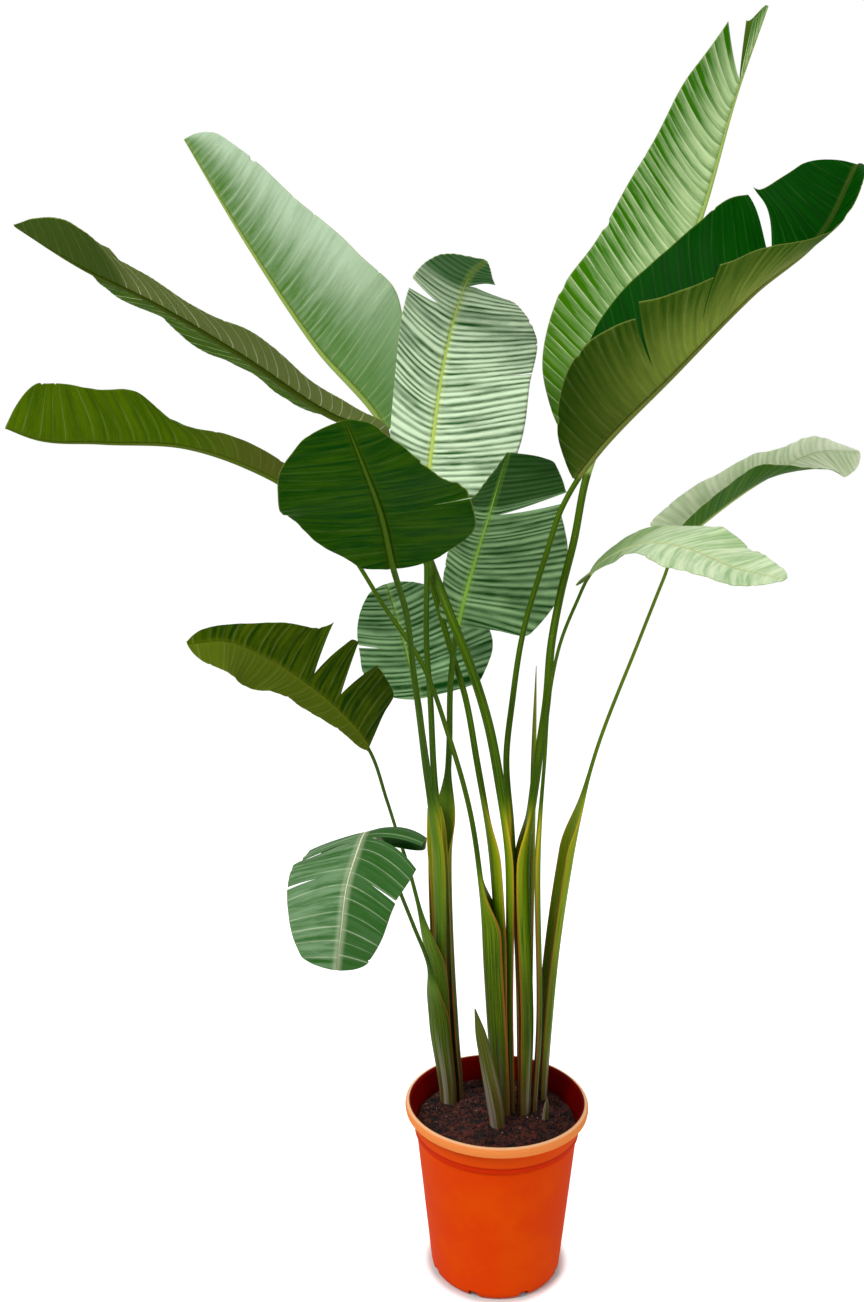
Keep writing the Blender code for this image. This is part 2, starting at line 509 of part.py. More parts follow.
def stalk_rings(leaf):
    """The rings of sheath, stalk and midrib, from the foot to just short of the tip."""
    path, soil, start = leaf_path(leaf)
    rows = blade_stations(leaf)[:-1]
    below = np.linspace(soil, start, STALK_STATIONS, endpoint=False)
    fraction = np.concatenate([[0.0], below, start + rows * (1 - start)])
    turn = smooth_step((fraction / start - TWIST_START) / (1 - TWIST_START))[:, None]
    facing = inward(leaf) * (1 - turn) + unit(leaf["face"][0]) * turn
    on_blade = fraction >= start - 1e-9
    facing[on_blade] = blade_facing(leaf, rows)
    point, _, across, face = frames(path, fraction, facing)
    height = point[:, 2]
    sheath = smooth_step((leaf.get("sheath_top", SHEATH_TOP) - height) / SHEATH_FADE)
    sheath[on_blade] = 0.0
    growth = 1 + SHEATH_GROWTH * np.clip((height - SOIL_TOP) / (BUNDLE_LEVEL - SOIL_TOP), 0, 1)
    full_width = leaf.get("sheath", SHEATH_WIDTH[abs(leaf["rank"])]) * FANS[leaf["fan"]]["size"]
    radius = leaf["radius"] * (1 - STALK_TAPER * smooth_step(fraction / start))
    radius[on_blade] = midrib_radius(leaf, rows)
    rings = []
    for k, amount in enumerate(sheath):
        wide = radius[k] + (full_width * growth[k] - radius[k]) * amount
        thick = radius[k] + (SHEATH_PART * FANS[leaf["fan"]]["pitch"] - radius[k]) * amount
        bend = SHEATH_BEND[abs(leaf["rank"])] * FANS[leaf["fan"]]["size"] * growth[k] / max(amount, 0.02)
        section = bent_section(wide, thick, bend, STALK_SIDES)
        rings.append(point[k] + across[k] * section[:, :1] + face[k] * section[:, 1:])
    return np.array(rings)


def rod_rings(points, radii, sides):
    """Round rings of given radii along the smooth line through points."""
    fraction = np.linspace(0, 1, len(radii))
    path = smooth_path(points)
    facing = np.tile(np.array((0.0, -1.0, 0.0)), (len(radii), 1))
    point, _, across, face = frames(path, fraction, facing)
    angle = 2 * np.pi * np.arange(sides) / sides
    ring = np.stack([np.cos(angle), np.sin(angle)], axis=-1)
    return np.array([point[k] + radii[k] * (across[k] * ring[:, :1] + face[k] * ring[:, 1:])
                     for k in range(len(radii))])


def surface_material(name, colour, roughness):
    """A plain Principled material."""
    material = bpy.data.materials.new(name)
    material.use_nodes = True
    shader = material.node_tree.nodes["Principled BSDF"]
    shader.inputs["Base Color"].default_value = (*colour, 1.0)
    shader.inputs["Roughness"].default_value = roughness
    shader.inputs["Metallic"].default_value = 0.0
    return material


def add_object(name, points, faces, material, smooth_angle=40.0, flat=False):
    """A mesh object with its faces turned outward, and split into flat triangles if asked."""
    mesh = bpy.data.meshes.new(name)
    mesh.from_pydata([tuple(point) for point in points], [], [tuple(map(int, face)) for face in faces])
    work = bmesh.new()
    work.from_mesh(mesh)
    if flat:
        bmesh.ops.triangulate(work, faces=work.faces)
    bmesh.ops.recalc_face_normals(work, faces=work.faces)
    work.to_mesh(mesh)
    work.free()
    mesh.shade_smooth()
    mesh.set_sharp_from_angle(angle=math.radians(smooth_angle))
    mesh.materials.append(material)
    item = bpy.data.objects.new(name, mesh)
    bpy.context.scene.collection.objects.link(item)
    return item


def cut(target, cutters):
    """Boolean cuts through the target, one for each cutter, which stays hidden."""
    for cutter in cutters:
        cutter.hide_render = True
        cutter.display_type = "WIRE"
        modifier = target.modifiers.new(cutter.name, "BOOLEAN")
        modifier.operation = "DIFFERENCE"
        modifier.solver = "EXACT"
        modifier.object = cutter


def upright_cylinder(name, centre, half_axes, turn, bottom, top, sides, material, roundness=1.0):
    """A closed upright cylinder of oval section; a roundness under 1 squares the oval's corners off."""
    angle = 2 * np.pi * (np.arange(sides) + 0.5) / sides
    oval = np.stack([np.cos(angle), np.sin(angle)], axis=-1)
    local = np.sign(oval) * abs(oval) ** roundness * np.array(half_axes)
    c, s = math.cos(turn), math.sin(turn)
    flat = local @ np.array(((c, s), (-s, c))) + np.array(centre)
    rings = [np.column_stack([flat, np.full(sides, level)]) for level in (bottom, top)]
    points, faces = loft(np.array(rings))
    return add_object(name, points, faces, material)


def pot_profile():
    """The pot's half section, radius and height, from the middle of the underside round to the inside."""
    wall_top = POT_HEIGHT - RIM_DEPTH
    neck = POT_RIM_RADIUS - RIM_OVERHANG
    band_bottom = wall_top - BAND_DEPTH
    outer = [(POT_BASE_RADIUS - FOOT_RADIUS, 0.0)]
    for k in range(1, FOOT_STEPS + 1):
        turn = math.pi / 2 * k / FOOT_STEPS
        outer.append((POT_BASE_RADIUS - FOOT_RADIUS * (1 - math.sin(turn)),
                      FOOT_RADIUS * (1 - math.cos(turn))))
    outer += [(neck - BAND_STEP - BAND_TAPER, band_bottom - BAND_STEP), (neck - BAND_TAPER, band_bottom),
              (neck, wall_top), (neck + FLARE_STEP[0], wall_top + FLARE_STEP[1])]
    rim = [(POT_RIM_RADIUS - inward_by, POT_HEIGHT - down) for inward_by, down in RIM_SECTION]
    inner = [(neck - POT_WALL, wall_top - BAND_STEP),
             (inner_radius(band_bottom), band_bottom), (inner_radius(FOOT_RADIUS), FOOT_RADIUS),
             (POT_BASE_RADIUS - FOOT_RADIUS - POT_WALL, POT_WALL)]
    return outer + rim + inner


def inner_radius(level):
    """The radius of the pot's inner wall at a height."""
    top = POT_HEIGHT - RIM_DEPTH - BAND_DEPTH
    bottom = POT_BASE_RADIUS - POT_WALL
    return bottom + (POT_RIM_RADIUS - RIM_OVERHANG - 2 * POT_WALL - bottom) * level / top


def turned(profile, segments):
    """Points and faces of a profile turned round Z, closed on the axis at both ends."""
    profile = np.array(profile)
    angle = 2 * np.pi * np.arange(segments) / segments
    rings = np.stack([profile[:, :1] * np.cos(angle), profile[:, :1] * np.sin(angle),
                      profile[:, 1:] + 0 * angle], axis=-1)
    points, faces = loft(rings)
    return points, faces


def make_pot():
    """The pot: a turned shell with a flared rim and drain holes round its heel."""
    material = surface_material("orange plastic", (0.80, 0.13, 0.01), 0.38)
    points, faces = turned(pot_profile(), POT_SEGMENTS)
    pot = add_object("pot", points, faces, material, smooth_angle=30.0)
    cutters = []
    for k in range(DRAIN_HOLES):
        angle = 2 * math.pi * (k + 0.5) / DRAIN_HOLES
        radius = POT_BASE_RADIUS - DRAIN_INSET
        centre = (radius * math.cos(angle), radius * math.sin(angle))
        cutters.append(upright_cylinder(f"drain_cutter_{k}", centre, (DRAIN_RADIUS, DRAIN_RADIUS), 0.0,
                                        -FOOT_RADIUS, DRAIN_TOP, DRAIN_SIDES, material))
    cut(pot, cutters)


def soil_rings():
    """The soil's outer shape as rings, from the middle of its underside to the middle of its top."""
    segments = POT_SEGMENTS
    angle = 2 * np.pi * np.arange(segments) / segments
    clear = 2 * GAP
    floor = POT_WALL + clear
    corner = FOOT_RADIUS + clear
    neck_level = POT_HEIGHT - RIM_DEPTH - BAND_DEPTH
    edge = inner_radius(neck_level) - clear
    sides = [(SOIL_CORE, floor), (POT_BASE_RADIUS - FOOT_RADIUS - POT_WALL - clear, floor),
             (inner_radius(corner) - clear, corner), (edge, neck_level), (edge, SOIL_TOP - SOIL_SHOULDER)]
    rings = [np.column_stack([r * np.cos(angle), r * np.sin(angle), np.full(segments, z)]) for r, z in sides]
    for part in SOIL_RINGS:
        x, y = edge * part * np.cos(angle), edge * part * np.sin(angle)
        rings.append(np.column_stack([x, y, SOIL_TOP + soil_relief(x, y)]))
    return np.array(rings)


def soil_relief(x, y):
    """The soil's gentle unevenness: two crossed waves, about 6 and 4 cm long."""
    wide = np.sin(90 * x + 1.0) * np.cos(110 * y)
    fine = np.sin(170 * y + 2000 * x * y + 2.0)
    return SOIL_RELIEF * (0.45 * wide + 0.27 * fine)


def make_soil(hole_specs):
    """The soil, with a plain hole for each fan of sheaths and each shoot."""
    material = surface_material("potting soil", (0.035, 0.018, 0.012), 0.95)
    points, faces = loft(soil_rings())
    soil = add_object("potting_soil", points, faces, material, flat=True)
    cutters = [upright_cylinder(f"hole_cutter_{k}", centre, axes, turn, FOOT_LEVEL, POT_HEIGHT, HOLE_SIDES,
                                material, HOLE_SQUARENESS if axes[0] != axes[1] else 1.0)
               for k, (centre, axes, turn) in enumerate(hole_specs)]
    cut(soil, cutters)


def make_leaf(name, leaf):
    """A leaf's two objects."""
    blade_material = surface_material(f"blade {name}", leaf["colour"], 0.40)
    stalk_material = surface_material(f"stalk {name}", STALK_GREEN, 0.45)
    points, faces = blade_mesh(leaf)
    add_object(f"blade_{name}", points, faces, blade_material)
    points, faces = loft(stalk_rings(leaf))
    add_object(f"stalk_{name}", points, faces, stalk_material)


def make_shoots():
    """The rolled spear, the young shoot and the small bud."""
    material = surface_material("young growth", (0.20, 0.26, 0.10), 0.5)
    foot = (*SPEAR["foot"], FOOT_LEVEL + GAP)
    line = (foot, (*SPEAR["foot"], SOIL_TOP)) + SPEAR["points"]
    points, faces = loft(rod_rings(line, SPEAR_RADIUS * np.array(SPEAR_TAPER), STALK_SIDES))
    add_object("spear", points, faces, material)
    for name, shoot in SHOOTS.items():
        foot = (*shoot["foot"], FOOT_LEVEL + GAP)
        line = (foot, (*shoot["foot"], SOIL_TOP)) + shoot["points"]
        points, faces = loft(rod_rings(line, shoot["radius"] * np.array(SHOOT_TAPER), SHOOT_SIDES))
        add_object(name, points, faces, material)


def holes():
    """The soil's holes: centre, half axes and turn."""
    result = []
    for fan in FANS.values():
        x, y = unit(fan["spread"])
        ranks = max(abs(leaf["rank"]) for leaf in LEAVES.values() if FANS[leaf["fan"]] is fan)
        reach = (ranks + SHEATH_PART) * fan["pitch"] + 2 * GAP
        centre = np.array(fan["centre"])
        if ranks == 0:
            centre = centre - np.array((x, y)) * LONE_SHEATH_REACH / 2
            reach += LONE_SHEATH_REACH / 2
        result.append((tuple(centre), (reach, HOLE_HALF_WIDTH), math.atan2(y, x)))
    for foot, radius in [(SPEAR["foot"], SPEAR_RADIUS)] + [(s["foot"], s["radius"]) for s in SHOOTS.values()]:
        size = radius + SHOOT_CLEARANCE
        result.append((foot, (size, size), 0.0))
    return result


def main():
    """Empties the scene and makes every object."""
    for item in list(bpy.data.objects):
        bpy.data.objects.remove(item, do_unlink=True)
    make_pot()
    make_soil(holes())
    for name, leaf in LEAVES.items():
        make_leaf(name, leaf)
    make_shoots()


main()
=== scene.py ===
import json
import math

import bmesh
import bpy
import numpy as np
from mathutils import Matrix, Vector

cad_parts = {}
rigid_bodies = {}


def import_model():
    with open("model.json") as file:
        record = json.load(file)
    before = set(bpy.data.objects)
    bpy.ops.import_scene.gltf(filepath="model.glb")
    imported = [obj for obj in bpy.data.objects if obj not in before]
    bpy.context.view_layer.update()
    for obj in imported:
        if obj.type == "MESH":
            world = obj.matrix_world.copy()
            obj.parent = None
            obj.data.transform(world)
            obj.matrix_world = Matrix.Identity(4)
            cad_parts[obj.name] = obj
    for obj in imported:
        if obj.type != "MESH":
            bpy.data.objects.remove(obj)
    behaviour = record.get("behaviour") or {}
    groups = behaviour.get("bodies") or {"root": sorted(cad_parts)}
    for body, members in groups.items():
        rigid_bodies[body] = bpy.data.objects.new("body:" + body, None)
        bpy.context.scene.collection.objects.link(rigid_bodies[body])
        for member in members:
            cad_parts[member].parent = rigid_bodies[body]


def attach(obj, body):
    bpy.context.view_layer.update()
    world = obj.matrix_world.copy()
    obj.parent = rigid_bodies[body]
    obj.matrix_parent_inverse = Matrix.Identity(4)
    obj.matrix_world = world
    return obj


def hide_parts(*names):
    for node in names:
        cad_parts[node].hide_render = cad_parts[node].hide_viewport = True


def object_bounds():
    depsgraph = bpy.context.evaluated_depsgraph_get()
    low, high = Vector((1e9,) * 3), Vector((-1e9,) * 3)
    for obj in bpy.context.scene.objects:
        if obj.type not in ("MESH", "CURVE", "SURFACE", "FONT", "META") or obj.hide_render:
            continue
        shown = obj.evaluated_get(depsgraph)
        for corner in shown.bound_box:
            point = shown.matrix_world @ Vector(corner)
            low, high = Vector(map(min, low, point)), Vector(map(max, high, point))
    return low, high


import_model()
cad_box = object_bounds()
cad_low, cad_high = np.array(cad_box[0]), np.array(cad_box[1])

# The nursery pot: one moulded piece of orange polypropylene with a rolled rim, a stepped band under it
# and drain holes cut through its heel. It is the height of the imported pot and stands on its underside.
POT_PROFILE = (
    (0.0, 0.0), (0.079, 0.0), (0.082, 0.0008), (0.0842, 0.003), (0.085, 0.006), (0.0855, 0.0105),
    (0.0862, 0.017), (0.0945, 0.093), (0.1043, 0.1838), (0.1036, 0.1856), (0.107, 0.1876), (0.108, 0.209),
    (0.1116, 0.215), (0.1135, 0.2195), (0.1165, 0.2212), (0.1173, 0.2195), (0.1164, 0.2162), (0.1183, 0.216),
    (0.1195, 0.222), (0.119, 0.2262), (0.1165, 0.2288), (0.1136, 0.2284), (0.111, 0.2252), (0.1055, 0.2065),
    (0.103, 0.187), (0.0831, 0.006), (0.0765, 0.0025), (0.0, 0.0025))
POT_ROUNDING = 0.0012
POT_SEGMENTS = 160
# Tones by height: the band's lower part redder, then orange again, and two painted highlights, the rim's bead
# paler and its top edge palest
POT_BANDS_AND_HIGHLIGHTS = ((0.1850, 0.1875, (214, 50, 2)), (0.1935, 0.1975, (232, 80, 18)),
             (0.2135, 0.2175, (250, 146, 76)), (0.2262, 0.2284, (255, 196, 146)))
# Painted shade: two thin dark lines at these heights, one where the band steps out and one across the band
POT_SHADE_LINES = (0.1866, 0.1942)
SHADE_LINE_REACH = 0.0016
DRAIN_HOLES = 8
DRAIN_CIRCLE = 0.081
DRAIN_PROFILE = np.array([(0.0, -0.006), (0.007, -0.006), (0.007, 0.0075), (0.0, 0.0075)])
DRAIN_SEGMENTS = 24
scene = bpy.context.scene


def linear(colour):
    """A colour in linear light from its values of 0 to 255 as a screen shows them; a socket as it is."""
    return (*((np.array(colour) / 255.0) ** 2.2).tolist(), 1.0) if isinstance(colour, tuple) else colour


def grid_quads(rows, columns, closed=False):
    """The corners of the quads between neighbouring rows and columns of a grid of points numbered row
    by row; closed joins the last column to the first."""
    i = np.arange(rows - 1)[:, None] * columns
    j = np.arange(columns if closed else columns - 1)[None]
    k = (j + 1) % columns
    return np.stack([i + j, i + k, i + columns + k, i + columns + j], axis=-1).reshape(-1, 4)


def make_piece(name, points, faces, materials, growth=None, smooth_angle=50.0):
    """A mesh object at the origin from whole arrays of points and faces, with an optional vector for
    each point that says where it lies on the grown thing."""
    mesh = bpy.data.meshes.new(name)
    mesh.from_pydata(np.asarray(points).tolist(), [], [list(face) for face in faces])
    if growth is not None:
        layer = mesh.attributes.new("growth", "FLOAT_VECTOR", "POINT")
        layer.data.foreach_set("vector", np.asarray(growth, np.float32).ravel())
    for material in materials:
        mesh.materials.append(material)
    mesh.shade_smooth()
    mesh.set_sharp_from_angle(angle=math.radians(smooth_angle))
    piece = bpy.data.objects.new(name, mesh)
    scene.collection.objects.link(piece)
    return piece


def make_tube(name, rings, ends, materials, growth=None, smooth_angle=50.0):
    """A closed tube: quads between its rings of points, and triangles from its first and last ring to
    the two end points."""
    count, sides = rings.shape[:2]
    here = np.arange(sides)
    there = (here + 1) % sides
    last = (count - 1) * sides
    first_cap = np.stack([here * 0 + count * sides, there, here], axis=-1)
    last_cap = np.stack([here * 0 + count * sides + 1, last + here, last + there], axis=-1)
    faces = grid_quads(count, sides, closed=True).tolist() + first_cap.tolist() + last_cap.tolist()
    if growth is not None:
        growth = growth.reshape(-1, 3)
        growth = np.concatenate([growth, growth[:1], growth[-1:]])
    points = np.concatenate([rings.reshape(-1, 3), ends])
    return make_piece(name, points, faces, materials, growth, smooth_angle)


def rounded_profile(profile, radius, steps=4):
    """The profile with each inner corner turned into a short curve: the corner c becomes the blend
    a(1-t)^2 + 2ct(1-t) + bt^2 between points a and b, one radius along its two edges."""
    profile = np.array(profile)
    corner, before, after = profile[1:-1], profile[:-2], profile[2:]
    back, ahead = before - corner, after - corner
    back_length = np.linalg.norm(back, axis=1, keepdims=True)
    ahead_length = np.linalg.norm(ahead, axis=1, keepdims=True)
    a = corner + back / back_length * np.minimum(radius, back_length * 0.4)
    b = corner + ahead / ahead_length * np.minimum(radius, ahead_length * 0.4)
    t = np.linspace(0, 1, steps)[:, None, None]
    curve = a * (1 - t) ** 2 + 2 * corner * t * (1 - t) + b * t ** 2
    middle = curve.transpose(1, 0, 2).reshape(-1, 2)
    return np.concatenate([profile[:1], middle, profile[-1:]])


def turned(profile, segments, x=0.0, y=0.0):
    """A profile of (r, z) carried round an upright axis as (x + r cos a, y + r sin a, z): its rings, and
    its two ends, which lie on the axis."""
    angle = np.linspace(0, 2 * np.pi, segments, endpoint=False)
    r, z = profile[1:-1, :1], profile[1:-1, 1:]
    rings = np.stack([x + r * np.cos(angle), y + r * np.sin(angle), z + 0 * angle], axis=-1)
    return rings, [(x, y, profile[0, 1]), (x, y, profile[-1, 1])]


def add_node(tree, kind, inputs=(), **settings):
    """A shader node with its settings made and its inputs set or wired, by number or name."""
    node = tree.nodes.new("ShaderNode" + kind)
    for key, value in settings.items():
        setattr(node, key, value)
    for key, value in dict(inputs).items():
        if isinstance(value, bpy.types.NodeSocket):
            tree.links.new(value, node.inputs[key])
        else:
            node.inputs[key].default_value = value
    return node


def place_of(tree):
    """A point's place on the piece."""
    return add_node(tree, "TexCoord").outputs["Object"]


def split(tree, vector):
    """The three parts of a vector."""
    return add_node(tree, "SeparateXYZ", {0: vector}).outputs


def joined(tree, *parts):
    """The vector of two or three parts."""
    return add_node(tree, "CombineXYZ", enumerate(parts)).outputs[0]


def figure(tree, operation, *values, clamp=False):
    """The result of one sum on values or sockets."""
    return add_node(tree, "Math", enumerate(values), operation=operation, use_clamp=clamp).outputs[0]


def between(tree, value, low, high, start=0.0, end=1.0):
    """A value eased from start to end as it goes from low to high."""
    inputs = {"Value": value, "From Min": low, "From Max": high, "To Min": start, "To Max": end}
    return add_node(tree, "MapRange", inputs, interpolation_type="SMOOTHSTEP").outputs[0]


def times(tree, value, *others):
    """The product of values or sockets."""
    for other in others:
        value = figure(tree, "MULTIPLY", value, other)
    return value


def painted(tree, colour, *layers, mode="MIX"):
    """A colour with layers over it, each a tone and the parts whose product lays it on. Colours are
    sockets or screen values, and a layer whose tone is None is left out."""
    for tone, *parts in layers:
        if tone is not None:
            mix = {0: times(tree, *parts), 6: linear(colour), 7: linear(tone)}
            colour = add_node(tree, "Mix", mix, data_type="RGBA", blend_type=mode).outputs[2]
    return colour


def noise(tree, vector, scale, detail=3.0, roughness=0.55):
    """A soft noise value of about 0.3 to 0.7."""
    inputs = {"Vector": vector, "Scale": scale, "Detail": detail, "Roughness": roughness}
    return add_node(tree, "TexNoise", inputs).outputs[0]


def new_group(name, sizes, outputs):
    """An empty shader group that takes a vector and some sizes and puts out values. It returns the group,
    what it is given and what it puts out."""
    group = bpy.data.node_groups.new(name, "ShaderNodeTree")
    group.interface.new_socket("Vector", in_out="INPUT", socket_type="NodeSocketVector")
    for label, value in sizes:
        group.interface.new_socket(label, in_out="INPUT", socket_type="NodeSocketFloat").default_value = value
    for label in outputs:
        group.interface.new_socket(label, in_out="OUTPUT", socket_type="NodeSocketFloat")
    return group, group.nodes.new("NodeGroupInput").outputs, group.nodes.new("NodeGroupOutput").inputs


def new_material(name, roughness, **values):
    """A material, its tree and its Principled shader with constant values set."""
    material = bpy.data.materials.new(name)
    material.use_nodes = True
    tree = material.node_tree
    shader = tree.nodes["Principled BSDF"]
    shader.inputs["Roughness"].default_value = roughness
    for key, value in values.items():
        shader.inputs[key.replace("_", " ")].default_value = value
    return material, tree, shader


def dress(tree, shader, colour, height, strength, distance, roughness=None):
    """Feeds the shader its colour, a bump of that height and, where it varies, its roughness."""
    inputs = {"Height": height, "Strength": strength, "Distance": distance}
    tree.links.new(add_node(tree, "Bump", inputs).outputs[0], shader.inputs["Normal"])
    tree.links.new(colour, shader.inputs["Base Color"])
    if roughness is not None:
        tree.links.new(roughness, shader.inputs["Roughness"])


# Dust and scuffs are one effect, on the pot, the stalks and the soil: soft patches and small specks
wear, wear_in, wear_out = new_group(
    "dust and scuffs", (("Patch size", 0.05), ("Speck size", 0.002)), ("Patches", "Specks"))
patch = noise(wear, wear_in[0], figure(wear, "DIVIDE", 1.0, wear_in[1]), 4.0, 0.6)
wear.links.new(between(wear, patch, 0.40, 0.68), wear_out[0])
speck = noise(wear, wear_in[0], figure(wear, "DIVIDE", 1.0, wear_in[2]), 1.0, 0.4)
wear.links.new(between(wear, speck, 0.66, 0.76), wear_out[1])


def worn(tree, vector, patch_size, speck_size):
    """The dust group in a material: its patches and its specks."""
    return add_node(tree, "Group", {0: vector, 1: patch_size, 2: speck_size}, node_tree=wear).outputs


def pot_plastic():
    """Orange plastic, redder on the band under the neck, with painted shade as two thin dark lines at the
    band, a painted highlight that makes the rim's bead paler and its top edge palest, painted shade that
    makes it dark red inside where the surface faces the axis, and faint dust."""
    material, tree, shader = new_material("orange pot plastic", 0.56, Specular_IOR_Level=0.03)
    place = place_of(tree)
    x, y, level = split(tree, place)
    patches, specks = worn(tree, place, 0.07, 0.0016)
    flat = joined(tree, x, y)
    radius = add_node(tree, "VectorMath", {0: flat}, operation="LENGTH").outputs["Value"]
    facing = {0: flat, 1: add_node(tree, "NewGeometry").outputs["Normal"]}
    outward = add_node(tree, "VectorMath", facing, operation="DOT_PRODUCT").outputs["Value"]
    # Painted shade: dark red on the inner wall, which faces the axis
    inside = between(tree, figure(tree, "DIVIDE", outward, radius), -0.1, -0.4)
    # Painted shade in two thin dark lines at the band
    shade_line_offsets = [figure(tree, "ABSOLUTE", figure(tree, "SUBTRACT", level, groove)) for groove in POT_SHADE_LINES]
    colour = painted(
        tree, (228, 68, 0), ((232, 78, 0), patches),
        *((tone, between(tree, level, low, high)) for low, high, tone in POT_BANDS_AND_HIGHLIGHTS),
        *(((140, 26, 0), between(tree, off, SHADE_LINE_REACH, 0.0002, 0.0, 0.45)) for off in shade_line_offsets),
        ((118, 9, 4), inside, between(tree, level, 0.008, 0.012)),
        ((150, 52, 14), between(tree, level, 0.012, 0.0), 0.4),
        ((130, 42, 10), specks, 0.12))
    dress(tree, shader, colour, noise(tree, place, 900.0, 2.0), 0.12, 0.0004,
          between(tree, patches, 0.0, 1.0, 0.50, 0.60))
    return material


pot = make_tube("nursery_pot", *turned(rounded_profile(POT_PROFILE, POT_ROUNDING), POT_SEGMENTS),
                [pot_plastic()], smooth_angle=60.0)
for k in range(DRAIN_HOLES):
    turn = 2 * math.pi * (k + 0.5) / DRAIN_HOLES
    x, y = DRAIN_CIRCLE * math.cos(turn), DRAIN_CIRCLE * math.sin(turn)
    drill = make_tube(f"drill_{k}", *turned(DRAIN_PROFILE, DRAIN_SEGMENTS, x, y), [])
    hole = pot.modifiers.new(drill.name, "BOOLEAN")
    hole.object = drill
    hole.solver = "EXACT"
cut_mesh = bpy.data.meshes.new_from_object(pot.evaluated_get(bpy.context.evaluated_depsgraph_get()))
pot.modifiers.clear()
pot.data = cut_mesh
for k in range(DRAIN_HOLES):
    bpy.data.objects.remove(bpy.data.objects[f"drill_{k}"])
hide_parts("pot")
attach(pot, "root")

# The potting soil: dark peat and bark, filled to three centimetres below the rim and watered flat, with
# loose crumbs, bark chips and a few pale grains of perlite on top.
SOIL_TOP = 0.200
SOIL_EDGE = 0.1028
SOIL_FLOOR = 0.0035
SOIL_SIDE = ((0.0764, 0.0035), (0.0825, 0.0070), (0.1022, 0.1870))
SOIL_RINGS = 90
SOIL_SEGMENTS = 220
LUMPS = 420
LUMP_SIZES = (0.0016, 0.0048)
CRUMBS = 1500
CHIPS = 70
GRAINS = 46
random = np.random.default_rng(41)


def soil_height(x, y, lumps):
    """The ground's height: two crossed waves, and for each lump (x, y, size) a bump of
    0.35 size exp(-d^2 / size^2) where d is the distance from it."""
    wide = np.sin(90 * x + 1.0) * np.cos(110 * y)
    fine = np.sin(170 * y + 2000 * x * y + 2.0)
    d2 = (x[..., None] - lumps[:, 0]) ** 2 + (y[..., None] - lumps[:, 1]) ** 2
    bumps = (0.35 * lumps[:, 2] * np.exp(-d2 / lumps[:, 2] ** 2)).sum(-1)
    return SOIL_TOP + 0.0013 * wide + 0.0006 * fine + bumps - 0.0012


def earth(name, roughness, first, second, patch_size, speck_size, speck, grain, bump):
    """Dull peat or bark: two tones in patches, red-brown specks by a part, and a rough grain."""
    material, tree, shader = new_material(name, roughness)
    place = place_of(tree)
    patches, specks = worn(tree, place, patch_size, speck_size)
    colour = painted(tree, first, (second, patches), ((140, 90, 66), specks, speck))
    dress(tree, shader, colour, noise(tree, place, *grain), *bump)
    return material


def scattered(count, sizes, flatness, reach, lift):
    """Many small angular lumps in one mesh: an octahedron cut once into 32 faces, each copy stretched,
    turned by a random rotation and set down at a random place of the soil."""
    corner = np.array(((1, 0, 0), (-1, 0, 0), (0, 1, 0), (0, -1, 0), (0, 0, 1), (0, 0, -1)), float)
    sides = np.array(((0, 2, 4), (2, 1, 4), (1, 3, 4), (3, 0, 4), (2, 0, 5), (1, 2, 5), (3, 1, 5), (0, 3, 5)))
    a, b, c = (corner[sides[:, k]] for k in range(3))
    solid = np.concatenate([a, b, c, (a + b) / 2, (b + c) / 2, (c + a) / 2])
    cuts = np.array(((0, 24, 40), (24, 8, 32), (40, 32, 16), (24, 32, 40)))[:, None] + np.arange(8)[:, None]
    _, first, same = np.unique(np.round(solid, 6), axis=0, return_index=True, return_inverse=True)
    solid, cuts = solid[first], same.reshape(-1)[cuts.reshape(-1, 3)]
    solid = solid / np.linalg.norm(solid, axis=1, keepdims=True)
    lump = solid[None] * random.uniform(0.75, 1.2, (count, len(solid), 1))
    size = random.uniform(sizes[0], sizes[1], (count, 1, 1)) * np.array((1.0, 0.75, flatness))
    tilt = np.linalg.qr(random.normal(size=(count, 3, 3)) * (1, 1, 0.4) + np.eye(3) * 1.2)[0]
    tilt[:, :, 0] *= np.sign(np.linalg.det(tilt))[:, None]
    lump = np.einsum("kij,knj->kni", tilt, lump * size)
    radius = reach * np.sqrt(random.uniform(0, 1, count))
    turn = random.uniform(0, 2 * np.pi, count)
    x, y = radius * np.cos(turn), radius * np.sin(turn)
    ground = soil_height(x, y, lumps) + lift * size[:, 0, 2]
    lump = lump + np.stack([x, y, ground], axis=-1)[:, None]
    number = cuts[None] + (np.arange(count) * len(solid))[:, None, None]
    return lump.reshape(-1, 3), number.reshape(-1, 3)


spots = random.uniform(-1, 1, (LUMPS, 2)) * SOIL_EDGE
spots = spots[np.linalg.norm(spots, axis=1) < SOIL_EDGE - 0.004]
lumps = np.column_stack([spots, random.uniform(*LUMP_SIZES, len(spots))])
rings = np.linspace(1.0, 0.0, SOIL_RINGS)[:-1, None] * SOIL_EDGE
angle = np.linspace(0, 2 * np.pi, SOIL_SEGMENTS, endpoint=False)
x, y = rings * np.cos(angle), rings * np.sin(angle)
top = np.stack([x, y, soil_height(x, y, lumps)], axis=-1)
r, z = np.array(SOIL_SIDE).T[..., None]
side = np.stack([r * np.cos(angle), r * np.sin(angle), z + 0 * angle], axis=-1)
centre = soil_height(np.zeros(1), np.zeros(1), lumps)[0]
peat = earth("potting soil", 0.92, (20, 6, 5), (92, 40, 30), 0.012, 0.0013, 0.5, (700.0, 5.0, 0.7),
             (0.6, 0.002))
soil = make_tube("soil_bed", np.concatenate([side, top]), [(0, 0, SOIL_FLOOR), (0, 0, centre)], [peat],
                 smooth_angle=75.0)
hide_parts("potting_soil")
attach(soil, "root")
